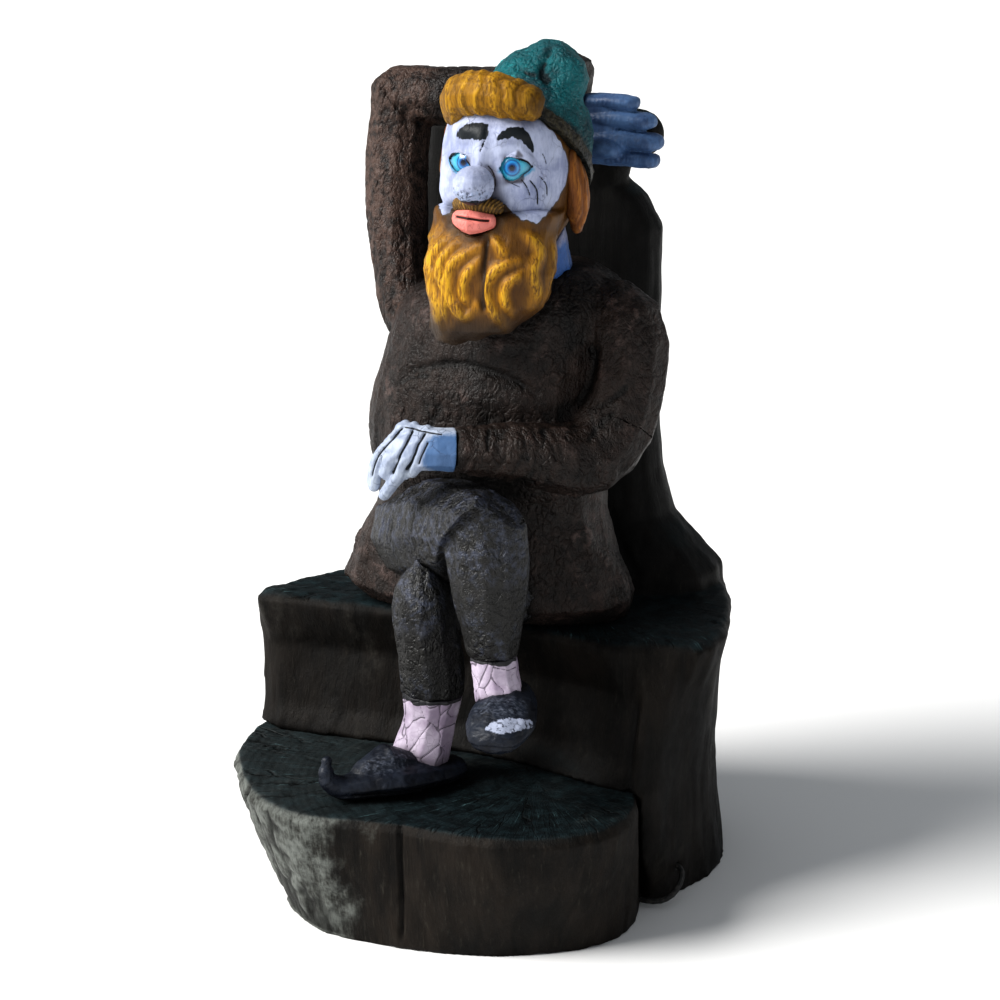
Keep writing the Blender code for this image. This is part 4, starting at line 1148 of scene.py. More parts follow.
def carve_socks():
    """Cracked into large plates, and dark under the trouser hem."""
    for name, seed in (("right_sock", 61), ("left_sock", 62)):
        clay = Clay(name, 0.0016, relax=5)
        points = clay.points
        bent = points + 0.006 * layered(points, 0.03, 2, seed)[:, None]
        walls = cell_walls(bent, (0.030, 0.030, 0.040), seed)
        cracks = np.clip(1 - walls / 0.09, 0, 1)
        clay.push(0.0010 * layered(points, 0.035, 2, seed + 3) - 0.0008 * cracks)
        clay.mark("crackle", 2.4 * walls)
        cloth_low = min(vert.co.z for vert in NODES[name.replace("sock", "shin")].data.vertices)
        edge = noise(points, (0.012, 0.012, 0.02), seed + 4)
        clay.mark("hem", fade(points[:, 2] + 0.003 * edge, cloth_low - 0.007, cloth_low - 0.003))
        finish_clay(clay, "sock")


SHOE_PATCH = [(0.122, -0.294, 0.313), (0.128, -0.281, 0.321), (0.146, -0.269, 0.325), (0.165, -0.246, 0.317),
              (0.170, -0.251, 0.307), (0.161, -0.278, 0.310), (0.143, -0.296, 0.309)]
RIGHT_VAMP = [(0.092, -0.261, 0.324), (0.102, -0.241, 0.336), (0.123, -0.235, 0.340), (0.146, -0.226, 0.335),
              (0.158, -0.240, 0.321), (0.146, -0.269, 0.325), (0.110, -0.275, 0.322)]
LEFT_VAMP = [(-0.066, -0.266, 0.229), (-0.034, -0.214, 0.235), (-0.014, -0.231, 0.221),
             (-0.030, -0.263, 0.218),
             (-0.056, -0.277, 0.219)]


def carve_shoes():
    """Dented uppers over a pressed welt, silver on the instep, a worn patch on the right toe."""
    for name, seed, vamp in (("right_shoe", 71, RIGHT_VAMP), ("left_shoe", 72, LEFT_VAMP)):
        clay = Clay(name, 0.0016, relax=5)
        points = clay.points
        relief = 0.0011 * layered(points, 0.026, 3, seed) - 0.0005 * creases(points, 0.012, 0.25, seed + 2)
        clay.push(relief)
        bottom = points[:, 2].min()
        upright = 1 - fade(np.abs(clay.facing[:, 2]), 0.5, 0.8)
        welt = np.exp(-((points[:, 2] - bottom - 0.012) / 0.0018) ** 2) * upright
        clay.push(-0.0012 * welt)
        patch = fade(outline_reach(points, SHOE_PATCH), -0.005, 0.003)
        clay.mark("worn", patch if name == "right_shoe" else 0.0)
        upward = fade(clay.facing[:, 2], 0.0, 0.4)
        clay.mark("vamp", fade(outline_reach(points, vamp), -0.004, 0.006) * upward)
        ridge_mark(clay, relief - 0.001 * welt, -0.0022, 0.0010)
        finish_clay(clay, "shoe")


# ---------------------------------------------------------------- hands

LEFT_HAND_GAPS = (
    # corners, half width, depth
    ([(-0.025, -0.212, 0.677), (-0.052, -0.226, 0.644), (-0.062, -0.228, 0.625),
      (-0.068, -0.226, 0.602)], 0.0017, 0.0030),
    ([(-0.013, -0.211, 0.676), (-0.017, -0.229, 0.656), (-0.027, -0.231, 0.636),
      (-0.038, -0.230, 0.611)], 0.0020, 0.0040),
    ([(0.006, -0.213, 0.674), (0.000, -0.228, 0.657), (-0.006, -0.231, 0.638),
      (-0.018, -0.228, 0.617)], 0.0020, 0.0040),
    ([(0.014, -0.225, 0.663), (0.007, -0.231, 0.644), (0.000, -0.227, 0.629)], 0.0014, 0.0025),
    ([(-0.029, -0.215, 0.675), (-0.014, -0.214, 0.674), (0.007, -0.216, 0.672),
      (0.031, -0.212, 0.670)], 0.0013, 0.0012),
)
GLOVE = [(0.018, -0.222, 0.668), (0.008, -0.228, 0.645), (0.012, -0.228, 0.628), (0.040, -0.210, 0.620),
         (0.060, -0.205, 0.640),
         (0.056, -0.205, 0.668)]
RIGHT_FINGERS = (
    [(0.110, 0.083, 1.0645, 0.0098), (0.145, 0.083, 1.0650, 0.0112), (0.163, 0.083, 1.0630, 0.0102)],
    [(0.110, 0.083, 1.0425, 0.0115), (0.155, 0.083, 1.0430, 0.0128), (0.184, 0.083, 1.0405, 0.0118)],
    [(0.110, 0.083, 1.0165, 0.0128), (0.160, 0.083, 1.0165, 0.0140), (0.192, 0.083, 1.0140, 0.0128)],
    [(0.110, 0.083, 0.9930, 0.0110), (0.160, 0.083, 0.9920, 0.0122), (0.190, 0.083, 0.9900, 0.0112)],
    [(0.112, 0.066, 1.0060, 0.0120), (0.130, 0.066, 1.0060, 0.0138), (0.148, 0.066, 1.0040, 0.0118)],
)


WEB_SINK = 0.0085           # how far under the gaps the web between the fingers runs
WEB_RADIUS = 0.0076


def carve_left_hand():
    """Fills the gaps between the fingers with a sunk web and presses the gaps' lines into it."""
    sunk = -WEB_SINK * TO_CAMERA
    finger_gaps = LEFT_HAND_GAPS[:4]
    webs = [[(*(np.array(spot) + sunk), WEB_RADIUS) for spot in corners] for corners, _, _ in finger_gaps]
    clay = Clay("left_hand", 0.0013, relax=5, beads=webs)
    points = clay.points
    clay.push(0.0007 * layered(points, 0.02, 3, 81))
    pressed = clay.grooves(LEFT_HAND_GAPS, ends=0.1)
    clay.mark("ink", pressed * 0.95)
    clay.mark("wash_and_shade", 1.15 * fade(outline_reach(points, GLOVE), -0.012, 0.012))
    clay.mark("pits", 0.0)
    finish_clay(clay, "hand")


def carve_right_hand():
    """Thickens the fingers with runs of stretched balls."""
    clay = Clay("right_hand", 0.0013, relax=4, beads=RIGHT_FINGERS, stretch=(1, 1.45, 1))
    clay.push(0.0009 * layered(clay.points, 0.022, 3, 85))
    clay.mark("ink", 0.0)
    clay.mark("wash_and_shade", 0.0)
    clay.mark("pits", 0.0)
    # painted shade: the raised hand has the pale paint darkened to slate blue
    finish_clay(clay, "shaded_hand")


# ---------------------------------------------------------------- the head

EYE_WIDE = 0.0245   # the eyes are flattened balls: half width, and half depth
EYE_DEEP = 0.0160
EYES = {
    # CAD node: centre, the way it faces, tilt of the opening, centre of the painted iris
    "left_eye": ((0.1048, -0.1569, 1.0087), (0.42, -0.90, 0.02), -0.05, (0.1085, -0.1770, 1.0100)),
    "right_eye": ((0.0409, -0.1630, 1.0106), (-0.25, -0.965, 0.03), 0.25, (0.0430, -0.1810, 1.0140)),
}
EYE_MIDDLES = {"left_eye": (0.1105, -0.169, 1.009), "right_eye": (0.0375, -0.176, 1.011)}
LID_THICKNESS = 0.0028
LID_REACH = 0.034            # how far from the eye's axis, and how far behind its middle, the lids go
LID_BACK = 0.010
LID_HUG = (0.036, 0.022)     # where the skin starts to leave the ball, and where it lies on it
SKIN_SINK = 0.0022           # how far under the eye's surface the skin in the opening is pressed
OPENING = (0.0185, 0.0104, 0.0088)  # half width, height above and below the middle of the eye


def eye_frame(name):
    centre, facing, tilt, _ = EYES[name]
    facing = np.array(facing) / np.linalg.norm(facing)
    side = np.cross(facing, (0.0, 0.0, 1.0))
    side /= -np.linalg.norm(side)
    lift = np.cross(facing, side)
    lift *= np.sign(lift[2])
    return np.array(centre), facing, side, lift, tilt


def eye_dome(spread, extra=0.0):
    """How far ahead of its middle the flattened ball reaches at a distance from its axis."""
    wide, deep = EYE_WIDE + extra, EYE_DEEP + extra
    return deep * np.sqrt(np.clip(1 - (spread / wide) ** 2, 0, None))


def carve_lids(clay, name):
    """Wraps the skin round an eye and cuts the almond opening; returns marks for the lash line and the blue
    round the eye.
    """
    centre, facing, side, lift, tilt = eye_frame(name)
    offset = clay.points - centre
    ahead, across, above = offset @ facing, offset @ side, offset @ lift
    spread = np.hypot(across, above)
    middle = np.array(EYE_MIDDLES[name]) - centre
    across = across - middle @ side
    above = above - middle @ lift + tilt * across * np.sign(side[0])
    near = (spread < LID_REACH) & (ahead > -LID_BACK)
    half, up, down = OPENING
    arch = np.clip(1 - (across / half) ** 2, 0, 1)
    edge_up = up * arch ** 0.70
    edge_down = -down * arch ** 0.80
    outside = np.maximum(above - edge_up, edge_down - above)
    outside = np.where(np.abs(across) > half, np.maximum(outside, np.abs(across) - half), outside)
    lid = eye_dome(spread, LID_THICKNESS)
    ball = eye_dome(spread)
    hug = fade(spread, *LID_HUG)
    covered = np.maximum(ahead, ahead + (lid - ahead) * hug)
    sunk = np.minimum(covered, ball - SKIN_SINK)
    target = np.where(outside > 0, covered, sunk)
    clay.shift(np.outer(np.where(near, target - ahead, 0), facing))
    lash = np.where(near & (above > 0), np.exp(-((outside - 0.0012) / 0.0021) ** 2), 0)
    lower = np.where(near & (above <= 0), 0.80 * np.exp(-((outside - 0.0004) / 0.0008) ** 2), 0)
    wash_and_shade = np.where(near, fade(outside, 0.010, 0.001) * fade(above, 0.012, -0.004), 0)
    return np.maximum(lash, lower) * (np.abs(across) < half + 0.004), wash_and_shade


BROWS = (
    [(0.030, -0.167, 1.043), (0.029, -0.164, 1.050), (0.041, -0.167, 1.060), (0.065, -0.170, 1.063),
     (0.073, -0.171, 1.059), (0.072, -0.176, 1.045), (0.052, -0.175, 1.043)],
    [(0.086, -0.175, 1.043), (0.091, -0.171, 1.052), (0.099, -0.163, 1.058), (0.114, -0.154, 1.057),
     (0.123, -0.148, 1.043), (0.126, -0.152, 1.028), (0.119, -0.156, 1.036), (0.109, -0.162, 1.045),
     (0.097, -0.169, 1.046)],
)
FACE_LINES = (
    # corners, half width, depth, ink
    ([(0.072, -0.172, 1.058), (0.071, -0.178, 1.041), (0.066, -0.182, 1.027)], 0.0011, 0.0012, 0.86),
    ([(0.075, -0.182, 1.014), (0.083, -0.181, 1.006), (0.087, -0.180, 0.992),
      (0.084, -0.180, 0.980)], 0.0012, 0.0016, 0.80),
    ([(0.099, -0.176, 0.996), (0.106, -0.171, 0.990), (0.116, -0.165, 0.985)], 0.0010, 0.0008, 0.66),
    ([(0.115, -0.167, 0.997), (0.121, -0.160, 0.986), (0.124, -0.153, 0.972)], 0.0011, 0.0010, 0.74),
    ([(0.123, -0.157, 0.995), (0.130, -0.148, 0.980), (0.129, -0.142, 0.959)], 0.0012, 0.0012, 0.80),
    ([(0.132, -0.148, 0.999), (0.138, -0.137, 0.986), (0.138, -0.134, 0.970)], 0.0011, 0.0010, 0.74),
    ([(0.134, -0.142, 1.027), (0.137, -0.139, 1.018), (0.138, -0.137, 1.011)], 0.0010, 0.0008, 0.70),
)
PALE_FACE = [(0.131, -0.128, 1.061), (0.142, -0.114, 1.046), (0.149, -0.103, 1.024), (0.152, -0.097, 1.002),
             (0.150, -0.102, 0.982), (0.143, -0.116, 0.961), (0.143, -0.147, 0.950), (0.138, -0.166, 0.941),
             (0.119, -0.177, 0.948), (0.098, -0.170, 0.959), (0.090, -0.177, 0.968), (0.075, -0.190, 0.968),
             (0.050, -0.182, 0.970), (0.030, -0.169, 0.960), (0.018, -0.175, 0.945), (-0.015, -0.130, 0.945),
             (-0.030, -0.100, 1.000), (-0.020, -0.100, 1.080), (0.060, -0.140, 1.110),
             (0.125, -0.120, 1.075)]
MOUTH_HOLLOW = [(0.022, -0.176, 0.962), (0.060, -0.197, 0.966), (0.100, -0.180, 0.960),
                (0.104, -0.192, 0.944),
                (0.094, -0.192, 0.928), (0.065, -0.197, 0.918), (0.030, -0.191, 0.925),
                (0.018, -0.180, 0.945)]
BEARD_RIDGES = (
    # corners, half width, height
    ([(0.036, -0.194, 0.926), (0.011, -0.191, 0.903), (0.001, -0.191, 0.878), (0.007, -0.194, 0.855),
      (0.017, -0.198, 0.835), (0.021, -0.201, 0.815), (0.024, -0.200, 0.795)], 0.0072, 0.0070),
    ([(0.044, -0.199, 0.920), (0.025, -0.200, 0.895), (0.021, -0.202, 0.874), (0.031, -0.204, 0.855),
      (0.028, -0.203, 0.830), (0.034, -0.203, 0.808)], 0.0058, 0.0070),
    ([(0.072, -0.203, 0.913), (0.041, -0.205, 0.890), (0.034, -0.205, 0.862), (0.042, -0.206, 0.839),
      (0.058, -0.206, 0.824), (0.074, -0.208, 0.840)], 0.0060, 0.0075),
    ([(0.075, -0.206, 0.896), (0.059, -0.209, 0.875), (0.055, -0.208, 0.854),
      (0.064, -0.207, 0.839)], 0.0055, 0.0060),
    ([(0.123, -0.193, 0.898), (0.101, -0.203, 0.888), (0.088, -0.208, 0.870), (0.089, -0.207, 0.850),
      (0.098, -0.202, 0.829), (0.105, -0.192, 0.812)], 0.0062, 0.0070),
    ([(0.090, -0.195, 0.930), (0.102, -0.199, 0.911), (0.110, -0.199, 0.900)], 0.0060, 0.0050),
    ([(0.131, -0.191, 0.884), (0.114, -0.202, 0.870), (0.109, -0.202, 0.850),
      (0.115, -0.197, 0.833)], 0.0058, 0.0060),
    ([(0.121, -0.181, 0.937), (0.143, -0.171, 0.909), (0.139, -0.183, 0.884), (0.142, -0.178, 0.859),
      (0.137, -0.183, 0.842)], 0.0070, 0.0065),
    ([(0.148, -0.157, 0.928), (0.152, -0.147, 0.892), (0.150, -0.150, 0.865),
      (0.145, -0.159, 0.839)], 0.0065, 0.0050),
    ([(0.012, -0.180, 0.935), (-0.008, -0.170, 0.905), (-0.012, -0.160, 0.875),
      (-0.006, -0.165, 0.850)], 0.0070, 0.0055),
)
BEARD_SPLIT = [(0.083, -0.196, 0.930), (0.085, -0.205, 0.904), (0.082, -0.209, 0.877),
               (0.080, -0.208, 0.849),
               (0.084, -0.205, 0.828)]


def shape_face(clay):
    """Soft mounds and hollows: centre, radius along each axis, height."""
    for centre, radius, height in (
            ((0.050, -0.172, 1.052), (0.026, 0.030, 0.010), 0.0040),   # brow ridges
            ((0.106, -0.162, 1.050), (0.022, 0.030, 0.010), 0.0045),
            ((0.068, -0.182, 1.030), (0.010, 0.030, 0.018), 0.0050),   # bridge of the nose
            ((0.010, -0.158, 0.968), (0.028, 0.035, 0.024), 0.0080),   # cheeks
            ((0.122, -0.158, 0.962), (0.026, 0.030, 0.020), 0.0085),
            ((0.061, -0.165, 1.012), (0.007, 0.020, 0.012), -0.0030),  # inner corners of the eyes
            ((0.087, -0.165, 1.008), (0.006, 0.020, 0.012), -0.0030),
            ((0.092, -0.178, 0.972), (0.009, 0.020, 0.014), -0.0040),  # fold beside the nose
            ((0.063, -0.180, 0.925), (0.035, 0.030, 0.006), -0.0030)):  # under the lower lip
        clay.swell(centre, radius, height)


BEARD_TOP = (0.945, 0.928)   # heights between which the carving of the beard sets in
BEARD_SINK = 0.0035          # how far the beard is pressed in first, to make room for the ridges
BEARD_WAVES = 16.0           # waves round the sides and back, to a full turn of 2 pi
CHIN_AXIS = (0.070, -0.110)


def carve_beard(clay, front):
    """Presses the beard into soft S-shaped ridges and splits it; returns the crest and split marks."""
    points = clay.points
    hair = fade(points[:, 2], *BEARD_TOP)
    clay.push(-BEARD_SINK * hair)
    locks = clay.ridges(BEARD_RIDGES, hair * front)
    turn = np.arctan2(points[:, 0] - CHIN_AXIS[0], CHIN_AXIS[1] - points[:, 1])
    bent = turn + 0.12 * np.sin(points[:, 2] / 0.015) + 0.12 * noise(points, 0.05, 101)
    waves = 0.5 + 0.5 * np.cos(bent * BEARD_WAVES)
    clay.push(hair * (0.0007 + 0.0024 * (1 - front)) * waves)
    split = clay.groove(BEARD_SPLIT, 0.0030, 0.0050, ends=0.10) * hair
    crest = np.clip(locks / 0.0060, 0, 1) * 0.90 + 0.12 * waves
    return crest * (1 - split), split


BROW_SHADOW_DROP = 0.008     # how far below each brow its grey shadow is painted
BEARD_SEAM = 0.952           # height of the step between head block and beard, and how far it is evened
SEAM_SPREAD = 0.012


def carve_head():
    """The head block and beard as one clay, so the pale paint runs down into the mustard paint."""
    clay = Clay(["head_block", "beard"], 0.0020, relax=4)
    seam = np.exp(-((clay.points[:, 2] - BEARD_SEAM) / SEAM_SPREAD) ** 2)
    clay.relax(10, 0.5 * seam)
    shape_face(clay)
    clay.push(0.0008 * layered(clay.points, 0.030, 3, 91))
    for size in (0.032, 0.026):
        close = np.zeros(len(clay.points), bool)
        for name in EYES:
            centre, facing = eye_frame(name)[:2]
            offset = clay.points - centre
            close |= (np.linalg.norm(offset, axis=1) < size) & (offset @ facing > -0.006)
        clay.refine(close)
    front = fade(clay.facing @ TO_CAMERA, 0.05, 0.35)
    crest, split = carve_beard(clay, front)
    ink = np.zeros(len(clay.points))
    wash_and_shade = np.zeros(len(clay.points))
    for name in EYES:
        lash, blue = carve_lids(clay, name)
        ink = np.maximum(ink, lash)
        wash_and_shade = np.maximum(wash_and_shade, 0.75 * blue)
    for corners, width, depth, dark in FACE_LINES:
        pressed = clay.groove(corners, width, depth, (0.35, -0.93, 0.1), ends=0.1)
        ink = np.maximum(ink, pressed * dark * 1.15)
    points = clay.points
    front = fade(clay.facing @ TO_CAMERA, 0.0, 0.2)
    for corners in BROWS:
        reach = outline_reach(points, corners)
        ragged = 0.0022 * noise(points, (0.0035, 0.0035, 0.020), 99)
        ink = np.maximum(ink, fade(reach + ragged, -0.0022, 0.0018) * front)
        under = outline_reach(points + (0, 0, BROW_SHADOW_DROP), corners)
        ink = np.maximum(ink, 0.42 * fade(under, -0.006, 0.002) * front)
    pale = outline_reach(points, PALE_FACE) + 0.0018 * noise(points, (0.006, 0.006, 0.016), 95)
    ochre = fade(pale, 0.006, -0.003)
    behind = (clay.facing @ TO_CAMERA < -0.1) & (points[:, 1] > -0.12)
    ochre = np.where(behind, 1.0, ochre)
    clay.mark("ochre", ochre)
    hollow_shade = fade(outline_reach(points, MOUTH_HOLLOW), -0.006, 0.004)
    far_side = fade(points[:, 0], 0.125, 0.155) * fade(points[:, 2], 0.95, 0.92)
    tip = fade(points[:, 2], 0.850, 0.800) + 0.35 * far_side
    clay.mark("shadow", np.maximum(0.62 * hollow_shade, np.maximum(0.9 * split, tip)))
    clay.mark("ridge", np.clip(crest, 0, 1))
    clay.mark("ink", ink)
    clay.mark("wash_and_shade", wash_and_shade)
    clay.mark("pits", 0.0)
    finish_clay(clay, "head")


def carve_nose():
    """A lumpy ball, dimpled and spotted on its underside, with painted blue shade on its lower half and near
    black at its bottom.
    """
    clay = Clay("nose", 0.0011, relax=5)
    points = clay.points
    middle = (points.min(axis=0) + points.max(axis=0)) / 2
    under = fade(points[:, 2], middle[2] + 0.008, middle[2] - 0.010)
    dimples = fade(noise(points, 0.0055, 98), 0.35, 0.75) * under
    clay.push(0.0006 * layered(points, 0.02, 2, 96) - 0.0013 * dimples)
    clay.mark("pits", np.clip(0.08 + 0.85 * under, 0, 1))
    # painted shade: blue on the lower half of the ball
    clay.mark("wash_and_shade", 0.35 * under)
    clay.mark("ink", 0.95 * fade(points[:, 2], middle[2] - 0.013, middle[2] - 0.020))
    finish_clay(clay, "nose")


def carve_lips():
    """Both lips in one, parted by a dark groove."""
    clay = Clay("lips", 0.0010, relax=4)
    mouth = [(0.036, -0.190, 0.9480), (0.045, -0.201, 0.9490), (0.063, -0.209, 0.9490),
             (0.079, -0.203, 0.9470),
             (0.088, -0.192, 0.946)]
    pressed = clay.groove(mouth, 0.0016, 0.0045, (0.1, -1.0, 0.0), ends=0.05)
    clay.mark("ink", pressed)
    finish_clay(clay, "lips")


def make_eyes():
    """Flattened balls raised a little over the iris, marked with the distance from its centre."""
    for name, (_, _, _, iris) in EYES.items():
        centre, facing, side, lift, _ = eye_frame(name)
        aim = np.array(iris) - centre
        build = bmesh.new()
        bmesh.ops.create_uvsphere(build, u_segments=72, v_segments=48, radius=1.0)
        ball = np.array([vert.co for vert in build.verts])
        shape = np.outer(ball[:, 0] * EYE_WIDE, side) + np.outer(ball[:, 1] * EYE_WIDE, lift)
        shape += np.outer(ball[:, 2] * EYE_DEEP, facing)
        gaze = np.hypot((shape - aim) @ side, (shape - aim) @ lift)
        gaze = np.where(ball[:, 2] > 0, gaze, 1.0)
        shape += np.outer(0.0006 * np.exp(-(gaze / 0.010) ** 4), facing)
        for vert, spot in zip(build.verts, centre + shape):
            vert.co = spot
        bmesh.ops.recalc_face_normals(build, faces=build.faces)
        mesh = baked(build, name)
        mesh.shade_smooth()
        layer = mesh.attributes.new("gaze", "FLOAT", "POINT")
        layer.data.foreach_set("value", gaze.astype(np.float32))
        settle(name, mesh, FINISHES["eye"])


# ---------------------------------------------------------------- hair and hat

def carve_fringe():
    """Broad upright locks with finer strokes, shaded beside the hat and along the lower edge."""
    clay = Clay("hair_fringe", 0.0014, relax=4)
    points = clay.points
    turn = (points[:, 0] + 0.007 * layered(points, 0.04, 2, 103)) / 0.0210
    waves = crests(turn)
    thin = 0.5 + 0.5 * np.cos(2 * math.pi * turn * 2.3 + 2.5 * noise(points, 0.02, 104))
    clay.push(0.0016 * waves + 0.0005 * thin - 0.0012)
    clay.mark("ridge", 0.25 + 0.50 * waves + 0.25 * thin)
    clay.mark("shadow", 0.60 * fade(points[:, 0], 0.090, 0.140) + 0.55 * fade(points[:, 2], 1.075, 1.054))
    finish_clay(clay, "fringe")


def carve_side_locks():
    """Wavy strands on the lock at each side of the head."""
    for name, seed in (("left_hair_lock", 105), ("right_hair_lock", 106)):
        clay = Clay(name, 0.0014, relax=4)
        points = clay.points
        bend = 0.004 * np.sin(points[:, 2] / 0.014) + 0.003 * noise(points, 0.03, seed)
        turn = (points[:, 1] + bend) / 0.0150
        waves = crests(turn)
        clay.push(0.0016 * waves - 0.0009)
        clay.mark("ridge", 0.30 + 0.50 * waves)
        clay.mark("shadow", 0.0)
        finish_clay(clay, "side_lock")


def carve_moustache():
    """Strands fanning out from the middle."""
    clay = Clay("moustache", 0.0010, relax=4)
    points = clay.points
    lean = (points[:, 0] - 0.066) * (1 + (0.972 - points[:, 2]) / 0.030)
    turn = (lean + 0.0015 * noise(points, 0.012, 107)) / 0.0060
    waves = crests(turn)
    clay.push(0.0014 * waves - 0.0008)
    clay.mark("ridge", 0.15 + 0.75 * waves)
    clay.mark("shadow", 0.5 * fade(points[:, 2], 0.962, 0.954))
    finish_clay(clay, "moustache")


HAT_RIM = (0.070, -0.070, 1.022)
HAT_WAY = np.array((0.12, 0.64, 0.76)) / np.linalg.norm((0.12, 0.64, 0.76))
CROWN_FOLDS = (
    # corners, half width, depth
    ([(0.112, -0.050, 1.150), (0.105, -0.064, 1.134), (0.106, -0.074, 1.114),
      (0.116, -0.065, 1.100)], 0.0045, 0.0055),
    ([(0.070, -0.085, 1.125), (0.085, -0.082, 1.118), (0.100, -0.075, 1.112)], 0.004, 0.003),
)


def carve_hat():
    """Dented crown with its folds, and the brim below it painted as a dark band."""
    for name, cell, folds, slot in (
            ("hat_crown", 0.0018, CROWN_FOLDS, "teal_hat"),
            ("hat_brim", 0.0016, (), "hat_band")):
        clay = Clay(name, cell, relax=5)
        points = clay.points
        walls = cell_walls(points + 0.004 * layered(points, 0.03, 2, 111)[:, None], 0.013, 112)
        hewn = layered(points, 0.045, 3, 113)
        relief = 0.0018 * hewn + 0.0010 * np.clip(walls / 0.35, 0, 1) - 0.0008
        clay.push(relief)
        pressed = clay.grooves(folds)
        rise = (points - HAT_RIM) @ HAT_WAY
        clay.mark("band", fade(rise, 0.018, 0.008) if name == "hat_crown" else 1.0)
        # painted highlight: strongest on the left side, towards the key light
        clay.mark("lit", 0.15 + 0.85 * fade(points[:, 0], 0.100, 0.055))
        ridge_mark(clay, relief - 0.002 * pressed, -0.0030, 0.0016)
        finish_clay(clay, "hat")


def carve_neck():
    """Pale above, with painted blue shade towards the collar."""
    clay = Clay("neck", 0.0018, relax=4)
    points = clay.points
    clay.push(0.0008 * layered(points, 0.02, 3, 121))
    # painted shade: blue towards the collar
    clay.mark("wash_and_shade", 1.2 * fade(points[:, 2] + 0.008 * layered(points, 0.03, 3, 122), 0.905, 0.880))
    clay.mark("pits", 0.25)
    clay.mark("ink", 0.0)
    finish_clay(clay, "neck")


# ---------------------------------------------------------------- hardware and cord

def finish_hardware():
    """The hidden dowels, rods and nuts keep their CAD shapes."""
    for name, node in NODES.items():
        kind = None
        if name.endswith("_dowel"):
            kind = "wood"
        elif "_rod" in name:
            kind = "zinc"
        elif name in ("cord_bush", "tether_cord"):
            kind = "rubber"
        if kind:
            node.data.materials.clear()
            node.data.materials.append(FINISHES[kind])
            node.data.shade_smooth()


# ---------------------------------------------------------------- stage

SKY_COLOUR = (0.92, 0.96, 1.0, 1.0)
SKY_STRENGTH = 0.30
KEY_WAY = (-0.62, -0.52, 0.59)  # from the object towards the light
KEY_POWER = 5.2
KEY_ANGLE = 0.60
KEY_COLOUR = (1.0, 0.985, 0.96)
FILL_SPOT = Vector((2.6, -3.0, 1.2))
FILL_AIM = Vector((0, 0, 0.5))
FILL_SIZE = 2.0
FILL_POWER = 9
FILL_COLOUR = (0.94, 0.97, 1.0)
FLOOR_SIZE = 60.0
FLOOR_DROP = 0.0005          # keeps the floor just clear of the trunk's foot


def aimed(name, data, spot, way, axis="-Z"):
    """Links a camera or a light at a spot, with its own axis turned along a way."""
    thing = bpy.data.objects.new(name, data)
    thing.location = spot
    thing.rotation_euler = way.to_track_quat(axis, "Y").to_euler()
    bpy.context.scene.collection.objects.link(thing)
    return thing


def set_camera():
    data = bpy.data.cameras.new("camera")
    data.lens = LENS
    data.sensor_width = SENSOR
    data.clip_end = 200.0
    bpy.context.scene.camera = aimed("camera", data, CAMERA_SPOT, CAMERA_AIM - CAMERA_SPOT)


def lay_floor():
    build = bmesh.new()
    bmesh.ops.create_grid(build, x_segments=1, y_segments=1, size=FLOOR_SIZE)
    mesh = baked(build, "floor")
    floor = bpy.data.objects.new("floor", mesh)
    floor.location = (0, 0, -FLOOR_DROP)
    finish = Finish("pale_floor")
    tone = finish.cloud(0.4, 2.0)
    colour = finish.blend(tone, (0.86, 0.86, 0.86), (0.88, 0.88, 0.88))
    mesh.materials.append(finish.done(colour, 0.8, tone, 0.0001, mirror=0.2))
    bpy.context.scene.collection.objects.link(floor)


def hang_lights():
    """A soft sky, a broad sun from the upper left and a weak fill from the right."""
    world = bpy.data.worlds.new("studio")
    world.use_nodes = True
    sky = world.node_tree.nodes["Background"]
    sky.inputs["Color"].default_value = SKY_COLOUR
    sky.inputs["Strength"].default_value = SKY_STRENGTH
    bpy.context.scene.world = world
    key = bpy.data.lights.new("key", "SUN")
    key.energy = KEY_POWER
    key.angle = KEY_ANGLE
    key.color = KEY_COLOUR
    aimed("key", key, (0, 0, 0), Vector(KEY_WAY), "Z")
    fill = bpy.data.lights.new("fill", "AREA")
    fill.shape = "DISK"
    fill.size = FILL_SIZE
    fill.energy = FILL_POWER
    fill.color = FILL_COLOUR
    aimed("fill", fill, FILL_SPOT, FILL_AIM - FILL_SPOT)


def set_view():
    bpy.context.scene.view_settings.view_transform = "Standard"
    bpy.context.scene.view_settings.look = "Medium High Contrast"


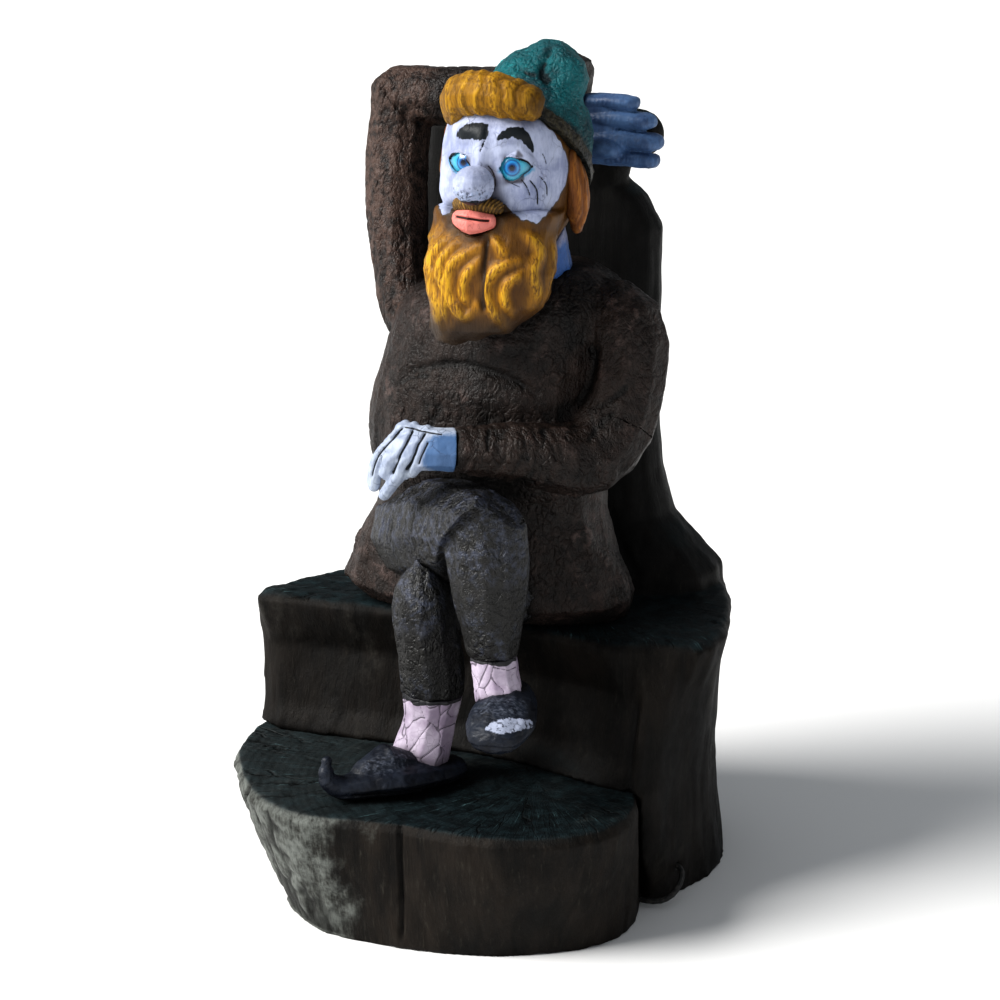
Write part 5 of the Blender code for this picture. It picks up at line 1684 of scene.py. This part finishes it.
FINISHES = {
    # painted shade: the seat log's sides darkened by 0.45, the step log's not
    "seat_trunk": bark("seat_trunk_finish", PITHS["seat_log"], 0.45),
    "step_trunk": bark("step_trunk_finish", PITHS["step_log"], 0.0),
    "coat": hewn_paint(
        "coat_finish", (0.0060, 0.0036, 0.0028), (0.0215, 0.0130, 0.0100), (0.088, 0.060, 0.053),
        mirror=0.27, roughness=(0.30, 0.60)),
    "trousers": hewn_paint(
        "trouser_finish", (0.0024, 0.0022, 0.0018), (0.0070, 0.0062, 0.0050), (0.050, 0.060, 0.092),
        mirror=0.42, roughness=(0.26, 0.54)),
    "head": head_paint("head_finish"),
    "nose": pale_paint(
        "nose_finish", (0.42, 0.46, 0.60), (0.27, 0.30, 0.43), (0.06, 0.18, 0.36), crack_share=0.3),
    "hand": pale_paint("hand_finish", (0.41, 0.46, 0.55), (0.24, 0.28, 0.38), (0.055, 0.12, 0.25)),
    # painted shade: the pale hand paint darkened to slate blue for the raised hand
    "shaded_hand": pale_paint(
        "shaded_hand_finish", (0.080, 0.150, 0.290), (0.036, 0.068, 0.150), (0.10, 0.26, 0.50),
        crack_share=0.2),
    "neck": pale_paint(
        "neck_finish", (0.26, 0.28, 0.42), (0.12, 0.14, 0.24), (0.03, 0.10, 0.30), crack_share=0.4),
    "fringe": hair_paint(
        "fringe_finish", (0.036, 0.015, 0.002), (0.290, 0.140, 0.006), (0.500, 0.270, 0.013)),
    "side_lock": hair_paint(
        "side_lock_finish", (0.060, 0.018, 0.004), (0.240, 0.085, 0.016), (0.420, 0.180, 0.030)),
    "moustache": hair_paint(
        "moustache_finish", (0.026, 0.018, 0.008), (0.200, 0.110, 0.030), (0.420, 0.250, 0.050)),
    "hat": hat_paint("hat_finish"),
    "eye": eye_paint("eye_finish"),
    "lips": lip_paint("lip_finish"),
    "shoe": shoe_paint("shoe_finish"),
    "sock": sock_paint("sock_finish"),
    "wood": cut_wood("dowel_finish"),
    "zinc": zinc("zinc_finish"),
    "rubber": rubber("rubber_finish"),
}

set_camera()
lay_floor()
hang_lights()
set_view()
carve_trunk()
carve_coat()
carve_trousers()
carve_socks()
carve_shoes()
carve_left_hand()
carve_right_hand()
carve_head()
carve_nose()
carve_lips()
make_eyes()
carve_fringe()
carve_side_locks()
carve_moustache()
carve_hat()
carve_neck()
finish_hardware()
